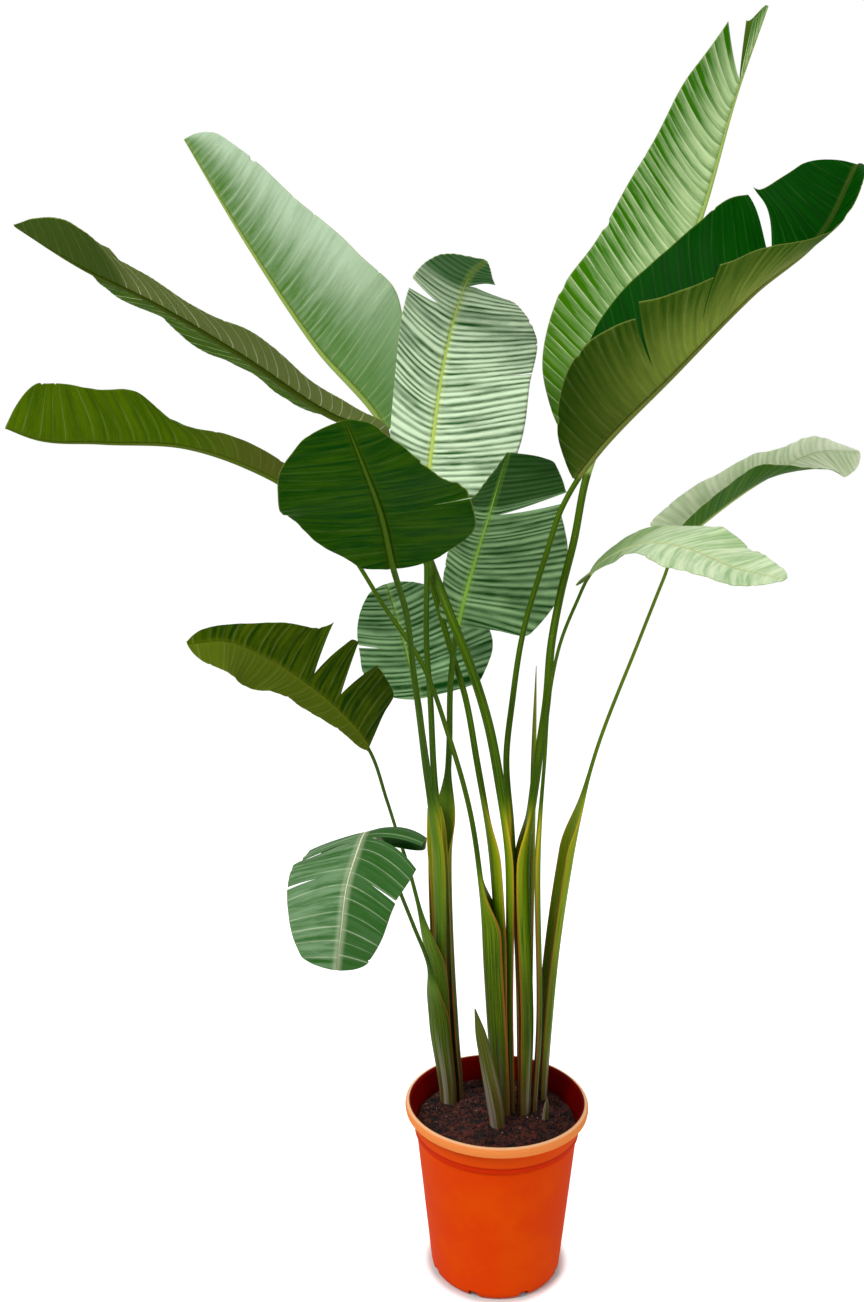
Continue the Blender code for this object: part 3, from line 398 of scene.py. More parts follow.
for name, count, sizes, flatness, lift, first, second in (
        ("soil_crumbs", CRUMBS, (0.0008, 0.0026), 0.8, 0.3, (22, 8, 6), (112, 52, 40)),
        ("bark_chips", CHIPS, (0.0020, 0.0050), 0.35, 0.8, (92, 50, 30), (46, 24, 16)),
        ("perlite_grains", GRAINS, (0.0006, 0.0013), 0.9, 0.9, (176, 156, 140), (120, 96, 80))):
    points, faces = scattered(count, sizes, flatness, SOIL_EDGE - 0.005, lift)
    finish = earth(name, 0.9, first, second, 0.006, 0.0008, 0.0, (1500.0, 2.0), (0.4, 0.0006))
    loose = make_piece(name, points, faces, [finish], smooth_angle=25.0)
    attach(loose, "root")

# The leaves: each grew as one piece, a sheath that clasps its neighbours at the foot, a long grooved
# stalk, and a blade on both sides of the stalk's end, pleated along its veins and torn by the wind.
# They are kept in the three fans in which they stand in the soil.
SOIL_FOOT = 0.1553
BUNDLE_LEVEL = 0.30
BUNDLE_SPREAD = 0.25
PATH_STEPS = 24
TANGENT_STEP = 0.006
PLEAT = 0.0074
PLEAT_DEPTH = 0.00042
MARGIN_RIPPLE = 0.0012
NICK_DEPTH = 0.010
TEAR_FADES = (0.07, 0.08)
ROW_SPACING = 0.0015
SIDE_COLUMNS = 30
BLADE_THICKNESS = 0.0007
BLADE_ROOM = 0.0006
WELD = 2e-5
END_ROUNDING = 0.07
END_WIDTH = 0.004
RIB_SHARE = 0.62
RIB_TIP = 0.0008
STEM_SIDES = 36
STEM_SPACING = 0.005
STEM_ROOM = 0.0002
STALK_TAPER = 0.38
GROOVE_DEPTH = 0.34
GROOVE_WIDTH = 0.45
SHEATH_FADE = 0.12
SHEATH_GROWTH = 0.28
SHEATH_EXTRA = 1.06
SHEATH_THICKNESS = 0.40
SHEATH_BEND = (0.0125, 0.0125, 0.0160, 0.0160)
SHEATH_WIDTH = (0.0160, 0.0095, 0.0165, 0.0240)


def unit(vectors):
    """The vectors at length one."""
    vectors = np.asarray(vectors, float)
    return vectors / np.linalg.norm(vectors, axis=-1, keepdims=True)


def spline(values, u):
    """A Catmull-Rom curve through evenly spaced values, read at u from 0 to 1."""
    values = np.asarray(values, float)
    values = np.concatenate([[2 * values[0] - values[1]], values, [2 * values[-1] - values[-2]]])
    x = np.clip(np.asarray(u, float), 0.0, 1.0) * (len(values) - 3)
    i = np.minimum(x.astype(int), len(values) - 4)
    t = x - i
    a, b, c, d = values[i], values[i + 1], values[i + 2], values[i + 3]
    return 0.5 * (2 * b + (c - a) * t + (2 * a - 5 * b + 4 * c - d) * t ** 2
                  + (3 * b - a - 3 * c + d) * t ** 3)


def smooth_path(points):
    """A dense line through points, each span a cubic with slopes weighted by the lengths of the two
    spans that meet at a point."""
    points = np.asarray(points, float)
    gaps = np.linalg.norm(np.diff(points, axis=0), axis=1)[:, None]
    chord = np.diff(points, axis=0) / gaps
    inner = (chord[:-1] * gaps[1:] + chord[1:] * gaps[:-1]) / (gaps[:-1] + gaps[1:])
    slope = np.concatenate([chord[:1], inner, chord[-1:]])
    t = np.linspace(0, 1, PATH_STEPS, endpoint=False)[None, :, None]
    a, b, m, n, h = (v[:, None] for v in (points[:-1], points[1:], slope[:-1], slope[1:], gaps))
    spans = ((2 * t ** 3 - 3 * t ** 2 + 1) * a + (t ** 3 - 2 * t ** 2 + t) * h * m
             + (3 * t ** 2 - 2 * t ** 3) * b + (t ** 3 - t ** 2) * h * n)
    return np.concatenate([spans.reshape(-1, 3), points[-1:]])


def at_fraction(path, fraction):
    """The points at the given fractions of a line's length."""
    steps = np.linalg.norm(np.diff(path, axis=0), axis=1)
    length = np.concatenate([[0.0], np.cumsum(steps)]) / steps.sum()
    return np.stack([np.interp(fraction, length, path[:, k]) for k in range(3)], axis=-1)


def line_length(path):
    """The length of a line of points."""
    return np.linalg.norm(np.diff(path, axis=0), axis=1).sum()


def frames(path, fraction, facing):
    """Points, sideways and face directions at fractions of a line, and its tangents: the face direction
    is the facing one made square to the line, and sideways is square to both."""
    ahead = at_fraction(path, np.clip(fraction + TANGENT_STEP, 0, 1))
    tangent = unit(ahead - at_fraction(path, np.clip(fraction - TANGENT_STEP, 0, 1)))
    face = unit(facing - tangent * (facing * tangent).sum(-1, keepdims=True))
    return at_fraction(path, fraction), np.cross(tangent, face), face, tangent


def smooth_step(x):
    """0 below 0, 1 above 1, and an even blend between."""
    x = np.clip(x, 0.0, 1.0)
    return x * x * (3 - 2 * x)


def wander(x, knots, seed):
    """A smooth random curve of about -1 to 1 through evenly spaced random values, read at x of 0 to 1."""
    return spline(np.random.default_rng(seed).uniform(-1, 1, knots), x)


def in_box(points, room):
    """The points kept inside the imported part's box by some room."""
    return np.clip(points, cad_low + room, cad_high - room)


def leaf_path(leaf, fan):
    """The line from foot to tip, and the fraction of its length where the blade starts."""
    levels = np.array((SOIL_FOOT, SOIL_TOP, BUNDLE_LEVEL))
    rise = np.maximum(levels - SOIL_TOP, 0.0)[:, None] / (BUNDLE_LEVEL - SOIL_TOP)
    near = 0.8 if abs(leaf["rank"]) == 1 else 1.0
    spread = unit(fan["spread"]) * leaf["rank"] * near * fan["pitch"] * (1 + BUNDLE_SPREAD * rise)
    foot = np.column_stack([np.array(fan["centre"]) + np.array(fan["lean"]) * rise + spread, levels])
    path = smooth_path(np.concatenate([foot, leaf["stalk"], leaf["midrib"]]))
    base = PATH_STEPS * (len(foot) + len(leaf["stalk"]))
    return path, line_length(path[:base + 1]) / line_length(path)


def blade_facing(leaf, u):
    """The rough direction of the upper face along the blade."""
    first, last = unit(leaf["face"][0]), unit(leaf["face"][1])
    return first * (1 - u)[..., None] + last * u[..., None]


def midrib_radius(leaf, u):
    """The midrib's radius along the blade, from the stalk's down to a point."""
    return RIB_TIP + (RIB_SHARE * leaf["radius"] - RIB_TIP) * (1 - u) ** 0.8


def half_width(widths, u):
    """The distance from midrib to margin, with both ends of the blade rounded off."""
    base = np.clip(u / END_ROUNDING, 0, 1)
    tip = np.clip((1 - u) / END_ROUNDING, 0, 1)
    rounding = np.sqrt(1 - (1 - base) ** 2) * np.sqrt(1 - (1 - tip) ** 2)
    return np.maximum(spline(widths, u) * rounding, END_WIDTH)


def blade_half(leaf, path, start, length, side, seed):
    """One half of a blade as a grid: u runs along the midrib and v from it to the margin. A point lies
    w sin(f + cv) / c out and w cos(f + cv) / c up from the midrib, for width w, fold f and curl c, moved
    toward the tip along its vein, opened beside each tear, and raised by the margin's waves and by
    cosine pleats that follow the veins."""
    data = leaf[side]
    sign = -1 if side == "left" else 1
    rows = np.linspace(0, 1, int(length / ROW_SPACING))
    lips = np.zeros_like(rows)
    for item in data["tears"]:
        rows = np.concatenate([rows, [item["at"], item["at"]]])
        lips = np.concatenate([lips, [-1, 1]])
    order = np.lexsort((lips, rows))
    rows, lips = rows[order], lips[order]
    columns = np.linspace(0, 1, SIDE_COLUMNS) ** 0.92
    u = rows[:, None] + 0 * columns
    v = columns + 0 * rows[:, None]
    shift = data["lead"] * v ** 1.4 * np.sin(np.pi * u)
    lift, kept = np.zeros_like(u), np.ones_like(u)
    for item in data["tears"]:
        away = u - item["at"]
        lip = np.where(abs(away) < 1e-9, lips[:, None], np.sign(away))
        open_by = np.clip((v - item["inner"]) / (1 - item["inner"]), 0, 1)
        reach = item["lean"] + lip * item["opening"] / 2
        shift = shift + open_by * reach / length * np.exp(-abs(away) / TEAR_FADES[0])
        lift = lift + np.where(lip > 0, open_by * item["lift"] * np.exp(-abs(away) / TEAR_FADES[1]), 0)
        kept = kept * np.where(lip > 0, item["keep"], 1.0)
    along = np.clip(u + shift, 0, 1)
    point, across, face, tangent = frames(path, start + along * (1 - start), blade_facing(leaf, along))
    rib = midrib_radius(leaf, u)
    width = half_width(data["widths"], u) * kept
    fold = np.radians(spline(data["fold"], u))
    curl = np.radians(spline(data["curl"], u)) + 1e-4
    bent = fold + curl * v
    out = rib * np.where(v > 0, 1.0, 0.3) + width / curl * (np.sin(bent) - np.sin(fold))
    up = -width / curl * (np.cos(bent) - np.cos(fold))
    height, count = leaf["waves"]
    ends = np.sin(np.pi * u)
    up = up + lift + height * v ** 2 * ends * np.sin(2 * np.pi * count * u + sign) + rib * 0.6
    pleats = u * length / PLEAT + 0.35 * wander(u, 24, seed)
    depth = PLEAT_DEPTH * leaf["pleats"] * np.minimum(v * 6, 1) * (1 - 0.5 * v ** 3)
    raised = depth * np.cos(2 * np.pi * pleats) * (1 + 0.4 * wander(u, 40, seed + 1))
    raised = raised + MARGIN_RIPPLE * v ** 2 * ends * wander(u, 34, seed + 2)
    nicks = np.maximum(wander(u, 50, seed + 3) - 0.82, 0) * NICK_DEPTH * v ** 14
    out = out - raised * np.sin(bent) - nicks * np.cos(bent)
    up = up + raised * np.cos(bent) - nicks * np.sin(bent)
    back = data["back"] * v ** 1.3 * smooth_step(u / 0.06) * np.clip(1 - u / 0.35, 0, 1) ** 2
    points = point + sign * across * out[..., None] + face * up[..., None] - tangent * back[..., None]
    growth = np.stack([pleats + 0 * v, v, sign * width * v], axis=-1)
    faces = grid_quads(*u.shape).reshape(len(rows) - 1, -1, 4)
    faces = faces[~((lips[:-1] < 0) & (lips[1:] > 0))].reshape(-1, 4)
    if side == "left":
        faces = faces[:, ::-1]
    return points.reshape(-1, 3), faces, growth.reshape(-1, 3)


# A blade's growth vector has the count of pleats along the midrib, the part of the width reached and
# the signed distance from the midrib, and this group makes every vein mask from them
veining, vein_in, vein_out = new_group(
    "leaf veins", (),
    ("Pleat shade", "Line", "Pleat shadow", "Streak", "Midrib side", "Width shading", "Margin", "Left half", "Height"))
count, outward, aside = split(veining, vein_in[0])
turns = times(veining, count, 2 * math.pi)
# Painted highlight and shade: light on each pleat's ridge, dark in its crease
pleat_shade = figure(veining, "MULTIPLY_ADD", figure(veining, "COSINE", turns), 0.5, 0.5)
long_way = joined(veining, times(veining, count, 0.33), times(veining, aside, 9.0))
strength = between(veining, noise(veining, long_way, 1.0, 2.0), 0.36, 0.58, 0.45, 1.0)
pairs = times(veining, count, 0.5)
stretched = joined(veining, times(veining, count, 0.9), times(veining, aside, 14.0),
                   figure(veining, "SIGN", aside))
streak = noise(veining, stretched, 1.0, 4.0, 0.65)
faint = between(veining, streak, 0.38, 0.60, 0.25, 1.0)
line = between(veining, figure(veining, "PINGPONG", pairs, 0.5), 0.055, 0.010)
fine = figure(veining, "COSINE", times(veining, turns, 7.0))
for k, mask in enumerate((
        times(veining, pleat_shade, strength),
        times(veining, line, faint),
        # Painted shade after every second vein line, fading over two pleats
        figure(veining, "SUBTRACT", 1.0, figure(veining, "FRACT", pairs)),
        between(veining, streak, 0.32, 0.68),
        between(veining, figure(veining, "ABSOLUTE", aside), 0.006, 0.0),
        # Painted light or shade from midrib to margin
        between(veining, outward, 0.1, 1.0),
        between(veining, outward, 0.985, 0.998),
        figure(veining, "LESS_THAN", aside, 0.0),
        figure(veining, "MULTIPLY_ADD", fine, 0.12, streak))):
    veining.links.new(mask, vein_out[k])


def growth_of(tree):
    """A point's place on the grown thing."""
    return add_node(tree, "Attribute", attribute_name="growth").outputs["Vector"]


# The light tones of the paler faces are partly their own pale green and partly painted sheen, the white sky
# reflected on a glossy face.
LOOK = dict(level=0.25, streaks=0.3, stripes=0.1, bands=0.0, outer=0.0, lines=0.15, line=(200, 212, 160),
            left=None, base=None, tip=None, tip_from=0.70, gloss=0.10, shine=0.42)


def skin(dark, light, **changes):
    """How one face of a blade looks: its dark and light tones and, where it differs from LOOK, how far it
    stands from the one to the other and what moves it there, among that a painted highlight on the pleat
    ridges with painted shade in their creases, painted shade after the vein lines and painted light or shade
    from midrib to margin; the strength and colour of its thin side veins, the colours of its left half, its
    base and its tip, where that starts, its gloss and roughness."""
    return {**LOOK, "dark": dark, "light": light, **changes}


def blade_skin(name, look, rib, pleats):
    """One face of a blade as its look says, for a blade with so many pleats: tones that follow streaks, a
    painted highlight on the pleat ridges with painted shade in their creases, painted shade after the side
    veins' lines, painted light or shade from midrib to margin and the side veins, then its base and tip, a
    strip of the rib's tone beside the midrib and a thin pale margin."""
    material, tree, shader = new_material(name, look["shine"], Specular_IOR_Level=look["gloss"])
    growth = growth_of(tree)
    node = add_node(tree, "Group", {0: growth}, node_tree=veining)
    pleat_shade, line, band, streak, near, outer, margin, left, height = node.outputs
    tone = figure(tree, "MULTIPLY_ADD", streak, look["streaks"], look["level"] - look["streaks"] / 2)
    # Painted highlight on the pleat ridges and painted shade in their creases
    tone = figure(tree, "MULTIPLY_ADD", pleat_shade, look["stripes"], tone)
    # Painted light or shade from midrib to margin, lighter where outer is above 0 and darker where below
    tone = figure(tree, "MULTIPLY_ADD", outer, look["outer"], tone)
    # Painted shade after every second vein line
    tone = figure(tree, "MULTIPLY_ADD", band, -look["bands"], tone, clamp=True)
    number = split(tree, growth)[0]
    base = between(tree, number, pleats * 0.45, pleats * 0.10, 0.0, 0.75)
    tip = between(tree, number, pleats * look["tip_from"], pleats * (look["tip_from"] + 0.06), 0.0, 0.85)
    colour = painted(
        tree, look["dark"], (look["light"], tone), (look["left"], left, 0.8), (look["base"], base),
        (look["line"], line, look["lines"]), (look["tip"], tip), (rib, near, 0.3),
        ((150, 160, 80), margin, 0.4))
    dress(tree, shader, colour, height, 0.2, 0.0006,
          between(tree, streak, 0.0, 1.0, look["shine"] - 0.04, look["shine"] + 0.08))
    return material


def stem_skin(name, dark, light, rib):
    """Sheath, stalk and midrib: streaked green, darker on the stalk, the rib's tone on the blade. The
    sheath is olive low down and yellow-green toward its margins, which are thin and dry, straw to brown.
    Near the soil it turns dull brown with pale patches."""
    material, tree, shader = new_material(name, 0.46, Specular_IOR_Level=0.08)
    along, aside, kind = split(tree, growth_of(tree))
    place = place_of(tree)
    level = split(tree, place)[2]
    patches, specks = worn(tree, place, 0.03, 0.0022)
    lines = joined(tree, times(tree, along, 9.0), times(tree, aside, 22.0))
    streaks = between(tree, noise(tree, lines, 1.0, 3.0), 0.35, 0.65)
    sheath = between(tree, kind, 0.15, 0.8)
    aside = figure(tree, "ABSOLUTE", aside)
    dry = painted(tree, (206, 182, 44), ((150, 92, 38), between(tree, level, 0.62, 0.44)))
    green = painted(tree, dark, (light, streaks))
    shaded = painted(tree, green, ((176, 192, 170), between(tree, kind, 0.4, 0.05)), mode="MULTIPLY")
    colour = painted(
        tree, shaded, (rib, between(tree, kind, -0.05, -0.3)),
        ((50, 56, 4), between(tree, level, 0.50, 0.36), sheath, 0.5),
        ((150, 164, 24), between(tree, level, 0.44, 0.58), sheath,
         between(tree, aside, 0.30, 0.85, 0.0, 0.8)),
        (dry, between(tree, aside, 0.88, 0.985), sheath),
        ((106, 76, 46), between(tree, level, 0.31, 0.20), between(tree, streaks, 0.0, 1.0, 0.35, 0.8)),
        ((206, 194, 184), between(tree, noise(tree, lines, 0.13, 3.0), 0.50, 0.62),
         between(tree, level, 0.33, 0.21, 0.0, 0.45)),
        ((160, 150, 104), specks, 0.2))
    dress(tree, shader, colour, streaks, 0.25, 0.0005, between(tree, patches, 0.0, 1.0, 0.40, 0.54))
    return material


def make_blade(name, leaf, path, start, number):
    """The blade: both halves welded along their untorn veins and given their thickness."""
    length = (1 - start) * line_length(path)
    points, faces, growth = zip(*(blade_half(leaf, path, start, length, side, 100 * number + 10 * k)
                                  for k, side in enumerate(("left", "right"))))
    faces = np.concatenate([faces[0], faces[1] + len(points[0])])
    points = in_box(np.concatenate(points), BLADE_ROOM)
    skins = [blade_skin(f"{name} {face}", look, leaf["rib"], length / PLEAT)
             for face, look in (("upper face", leaf["upper"]), ("underside", leaf["under"]))]
    blade = make_piece(f"leaf_{name}", points, faces, skins, np.concatenate(growth), 70.0)
    work = bmesh.new()
    work.from_mesh(blade.data)
    bmesh.ops.remove_doubles(work, verts=work.verts, dist=WELD)
    work.to_mesh(blade.data)
    work.free()
    shell = blade.modifiers.new("thickness", "SOLIDIFY")
    shell.thickness = BLADE_THICKNESS
    shell.offset = 0.0
    shell.material_offset = 1
    shell.use_quality_normals = True
    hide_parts(f"blade_{name}")
    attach(blade, "root")


def make_stem(name, leaf, fan, path, start):
    """Sheath, stalk and midrib as one tube: an ellipse of half axes w and t bent round a radius b, so
    that a point at angle a lies (b - q) sin(p / b) aside and b (1 - cos(p / b)) + q cos(p / b) toward
    the face, with p = w cos a and q = t sin a less the groove's depth."""
    length, rank = line_length(path), abs(leaf["rank"])
    fraction = np.linspace(0, 1, int(length / STEM_SPACING))
    turn = smooth_step(fraction / start * 2 - 1)[:, None]
    x, y = unit(fan["spread"]) * (-1 if leaf["rank"] >= 0 else 1)
    facing = np.array((x, y, 0.0)) * (1 - turn) + unit(leaf["face"][0]) * turn
    u = np.clip((fraction - start) / (1 - start), 0, 1)
    on_blade = fraction >= start
    facing[on_blade] = blade_facing(leaf, u)[on_blade]
    point, across, face, _ = frames(path, fraction, facing)
    level = point[:, 2]
    sheath = smooth_step((leaf["sheath_top"] - level) / SHEATH_FADE)
    sheath = np.where(on_blade | (fraction > 0.6), 0.0, sheath)
    growing = 1 + SHEATH_GROWTH * np.clip((level - SOIL_TOP) / (BUNDLE_LEVEL - SOIL_TOP), 0, 1)
    full = (leaf["sheath"] or SHEATH_WIDTH[rank]) * fan["size"] * SHEATH_EXTRA
    radius = leaf["radius"] * (1 - STALK_TAPER * smooth_step(fraction / start))
    radius = np.where(on_blade, midrib_radius(leaf, u) * (1 - 0.7 * u ** 12), radius)
    wide = radius + (full * growing - radius) * sheath
    thick = radius + (SHEATH_THICKNESS * fan["pitch"] - radius) * sheath
    bend = (SHEATH_BEND[rank] * fan["size"] * growing / np.maximum(sheath, 0.02))[:, None]
    angle = 2 * np.pi * np.arange(STEM_SIDES) / STEM_SIDES
    groove = GROOVE_DEPTH * radius * (1 - sheath) * np.where(on_blade, 0.5, 1.0)
    hollow = groove[:, None] * np.exp(-(np.cos(angle) / GROOVE_WIDTH) ** 2) * (np.sin(angle) > 0)
    p = wide[:, None] * np.cos(angle)
    q = thick[:, None] * np.sin(angle) - hollow
    aside = (bend - q) * np.sin(p / bend)
    toward = bend * (1 - np.cos(p / bend)) + q * np.cos(p / bend)
    rings = point[:, None] + across[:, None] * aside[..., None] + face[:, None] * toward[..., None]
    kind = np.where(on_blade, -np.minimum(u * 20, 1), sheath)[:, None] + 0 * angle
    growth = np.stack([(fraction * length)[:, None] + 0 * angle, np.cos(angle) + 0 * kind, kind], axis=-1)
    stem = make_tube(f"stem_{name}", in_box(rings, STEM_ROOM), in_box(point[[0, -1]], STEM_ROOM),
                     [stem_skin(f"{name} stalk", *fan["tones"], leaf["rib"])], growth, 60.0)
    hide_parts(f"stalk_{name}")
    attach(stem, "root")


# Looks that more than one blade has, and what the table of leaves is written with. Its points run up
# a stalk and then along its midrib
PLAIN_GREEN = skin((44, 80, 2), (92, 124, 16), level=0.4, lines=0.06)
DEEP_GREEN = skin((12, 62, 4), (50, 98, 18), level=0.2, lines=0.08)


def tear(at, inner, opening, lift=0.0, lean=0.0, keep=1.0):
    """A tear along a vein: its place along the midrib and the part of the width where it starts, both
    from 0 to 1; how wide it is open at the margin, how far its outer lip stands up and how far both lips
    lean toward the tip, metres; and the part of the width left between the tear and the tip."""
    return dict(at=at, inner=inner, opening=opening, lift=lift, lean=lean, keep=keep)


def half(widths, fold, *tears, curl=(0.0, 0.0), back=0.0, lead=0.10):
    """One side of a blade: half-widths from base to tip, metres; fold and curl angles, degrees; its
    tears; how far the side reaches back past the blade's base, metres; and how far its veins lead toward
    the tip, as a part of the blade's length."""
    return dict(widths=widths, fold=fold, tears=tears, curl=curl, back=back, lead=lead)


def grow(rank, slot, radius, pleats, waves, rib, stalk, midrib, face, left, right, sheath=None,
         sheath_top=0.66, upper=PLAIN_GREEN, under=PLAIN_GREEN):
    """A leaf: its place in its fan from the middle out, its finish (not used), its stalk's radius, the depth
    of its pleats, the height and number of its margin's waves, its midrib's tone, its line, the directions
    that its blade faces at base and tip, the blade's two sides, its sheath's half-width if that isn't the
    usual one, the sheath's top, and the looks of the two faces."""
    return dict(rank=rank, slot=slot, radius=radius, pleats=pleats, waves=waves, rib=rib, stalk=stalk,
                midrib=midrib, face=face, left=left, right=right, sheath=sheath, sheath_top=sheath_top,
                upper=upper, under=under)


CENTRE_FAN = {
    "left_long": grow(
        1, "leaf green", 0.0090, 0.6, (0.004, 4), rib=(84, 104, 22), sheath=0.0108,
        face=((0.35, -0.10, 1.0), (0.25, -0.10, 1.0)),
        under=skin((44, 84, 0), (100, 136, 24), level=0.45, streaks=0.6, lines=0.95, line=(222, 230, 192),
                   left=(130, 142, 78), tip=(60, 88, 0), gloss=0.02, shine=0.6),
        stalk=((0.001, 0.010, 0.655), (-0.014, 0.008, 0.730), (-0.036, 0.010, 0.800), (-0.060, 0.014, 0.860),
               (-0.088, 0.046, 0.930), (-0.116, 0.066, 1.008)),
        midrib=((-0.143, 0.060, 1.080), (-0.206, 0.020, 1.106), (-0.306, -0.030, 1.172),
                (-0.400, -0.070, 1.228), (-0.471, -0.090, 1.262), (-0.538, -0.100, 1.303)),
        left=half((0.02, 0.055, 0.065, 0.055, 0.092, 0.012), (25, 22, 20, 22, 28),
                  tear(0.70, 0.35, 0.004, 0.006)),
        right=half((0.03, 0.085, 0.105, 0.11, 0.08, 0.03), (-8, -10, -8, -3))),
    "left_level": grow(
        3, "leaf green", 0.0045, 0.25, (0.002, 3), rib=(96, 116, 30), sheath_top=0.57,
        face=((0.30, 0.10, 1.0), (0.10, 0.10, 1.0)),
        under=skin((56, 88, 0), (100, 130, 0), level=0.45, streaks=0.5, lines=0.12, base=(98, 100, 44),
                   gloss=0.03),
        stalk=((-0.014, 0.020, 0.400), (-0.020, 0.012, 0.500), (-0.035, 0.001, 0.610),
               (-0.064, -0.022, 0.720), (-0.099, -0.043, 0.818), (-0.139, -0.053, 0.880),
               (-0.187, -0.058, 0.956)),
        midrib=((-0.249, -0.060, 1.019), (-0.291, -0.090, 1.044), (-0.352, -0.130, 1.066),
                (-0.433, -0.180, 1.070), (-0.490, -0.220, 1.074), (-0.514, -0.230, 1.084)),
        left=half((0.02, 0.024, 0.026, 0.026, 0.055, 0.058, 0.060, 0.060, 0.056), (60, 65, 70, 60)),
        right=half((0.03, 0.04, 0.05, 0.06, 0.055, 0.042), (30, 35, 40))),
    "left_broad": grow(
        2, "leaf pale", 0.0060, 0.3, (0.001, 3), rib=(150, 176, 84),
        face=((0.65, 0.50, 0.46), (0.65, 0.45, 0.50)),
        upper=DEEP_GREEN,
        under=skin((78, 122, 44), (188, 214, 180), level=0.12, outer=0.85, lines=0.45, base=(98, 140, 72),
                   gloss=0.06),
        stalk=((-0.001, 0.023, 0.460), (-0.013, 0.036, 0.592), (-0.026, 0.050, 0.669), (-0.042, 0.065, 0.754),
               (-0.059, 0.077, 0.808), (-0.078, 0.086, 0.872), (-0.110, 0.095, 0.985)),
        midrib=((-0.144, 0.104, 1.090), (-0.235, 0.135, 1.198), (-0.320, 0.145, 1.324),
                (-0.397, 0.135, 1.452)),
        left=half((0.03, 0.118, 0.110, 0.086, 0.064, 0.034), (52, 48, 40), lead=0.08),
        right=half((0.03, 0.08, 0.10, 0.09, 0.072, 0.050), (60, 65, 75), lead=0.08)),
    "right_tall": grow(
        -2, "leaf green", 0.0085, 0.5, (0.0015, 4), rib=(160, 186, 96), sheath=0.0195,
        face=((-1.0, 0.15, -0.10), (-1.0, 0.20, -0.20)),
        under=skin((56, 118, 4), (206, 234, 168), level=0.86, streaks=0.45, bands=0.55, outer=-0.50,
                   lines=0.7, line=(230, 240, 200), base=(76, 124, 2), gloss=0.03),
        stalk=((0.040, 0.025, 0.585), (0.050, 0.028, 0.676), (0.060, 0.030, 0.753), (0.065, 0.034, 0.823),
               (0.077, 0.040, 0.890), (0.092, 0.045, 0.951)),
        midrib=((0.107, 0.050, 1.031), (0.183, 0.120, 1.174), (0.264, 0.160, 1.365), (0.301, 0.140, 1.515),
                (0.326, 0.110, 1.600)),
        left=half((0.02, 0.10, 0.115, 0.10, 0.06, 0.01), (60, 60, 60),
                  tear(0.87, 0.15, 0.014, lean=0.030, keep=0.45)),
        right=half((0.010, 0.104, 0.128, 0.116, 0.104, 0.090, 0.072, 0.044, 0.012), (70, 70, 65),
                   tear(0.87, 0.10, 0.014, lean=0.036, keep=0.30))),
    "right_folded": grow(
        -1, "leaf dark", 0.0060, 0.25, (0.002, 4), rib=(120, 130, 60),
        face=((-0.75, 0.10, 0.65), (-0.60, 0.10, 0.80)),
        upper=skin((0, 58, 0), (20, 90, 6), level=0.2, lines=0.03, gloss=0.02),
        under=skin((40, 80, 0), (156, 172, 72), level=0.56, streaks=0.22, outer=-0.46, lines=0.08,
                   base=(32, 60, 0), gloss=0.02),
        stalk=((0.019, 0.042, 0.580), (0.011, 0.048, 0.671), (0.018, 0.046, 0.750), (0.028, 0.034, 0.831),
               (0.055, 0.005, 0.941), (0.072, -0.012, 0.999)),
        midrib=((0.088, -0.020, 1.030), (0.108, -0.040, 1.060), (0.186, -0.090, 1.148),
                (0.264, -0.110, 1.230), (0.342, -0.100, 1.297), (0.374, -0.100, 1.367)),
        left=half((0.02, 0.11, 0.11, 0.105, 0.08, 0.045), (65, 70, 75), tear(0.685, 0.10, 0.030, lean=0.020),
                  lead=0.14),
        right=half((0.02, 0.105, 0.088, 0.064, 0.049, 0.027), (75, 42, 0, -15),
                   tear(0.33, 0.25, 0.013, 0.005, keep=1.06), tear(0.46, 0.35, 0.010, 0.003, keep=1.04))),
    "right_arching": grow(
        -3, "leaf pale", 0.0035, 0.3, (0.003, 3), rib=(200, 210, 140), sheath=0.0080,
        face=((-0.30, -0.35, 1.0), (0.20, -0.45, 1.0)),
        upper=skin((92, 148, 56), (214, 232, 188), level=0.62, streaks=0.7, lines=0.3, base=(84, 124, 24)),
        under=skin((60, 92, 6), (120, 136, 30)),
        stalk=((0.051, 0.004, 0.590), (0.056, 0.000, 0.682), (0.061, -0.006, 0.772), (0.072, -0.018, 0.836),
               (0.088, -0.034, 0.885)),
        midrib=((0.101, -0.050, 0.919), (0.122, -0.080, 0.943), (0.153, -0.120, 0.960),
                (0.190, -0.180, 0.958), (0.231, -0.230, 0.941), (0.269, -0.260, 0.934)),
        left=half((0.04, 0.045, 0.055, 0.050, 0.038, 0.015), (5, 5, 5), back=0.022),
        right=half((0.035, 0.040, 0.045, 0.048, 0.04, 0.015), (0, 0, 0), back=0.018)),
}
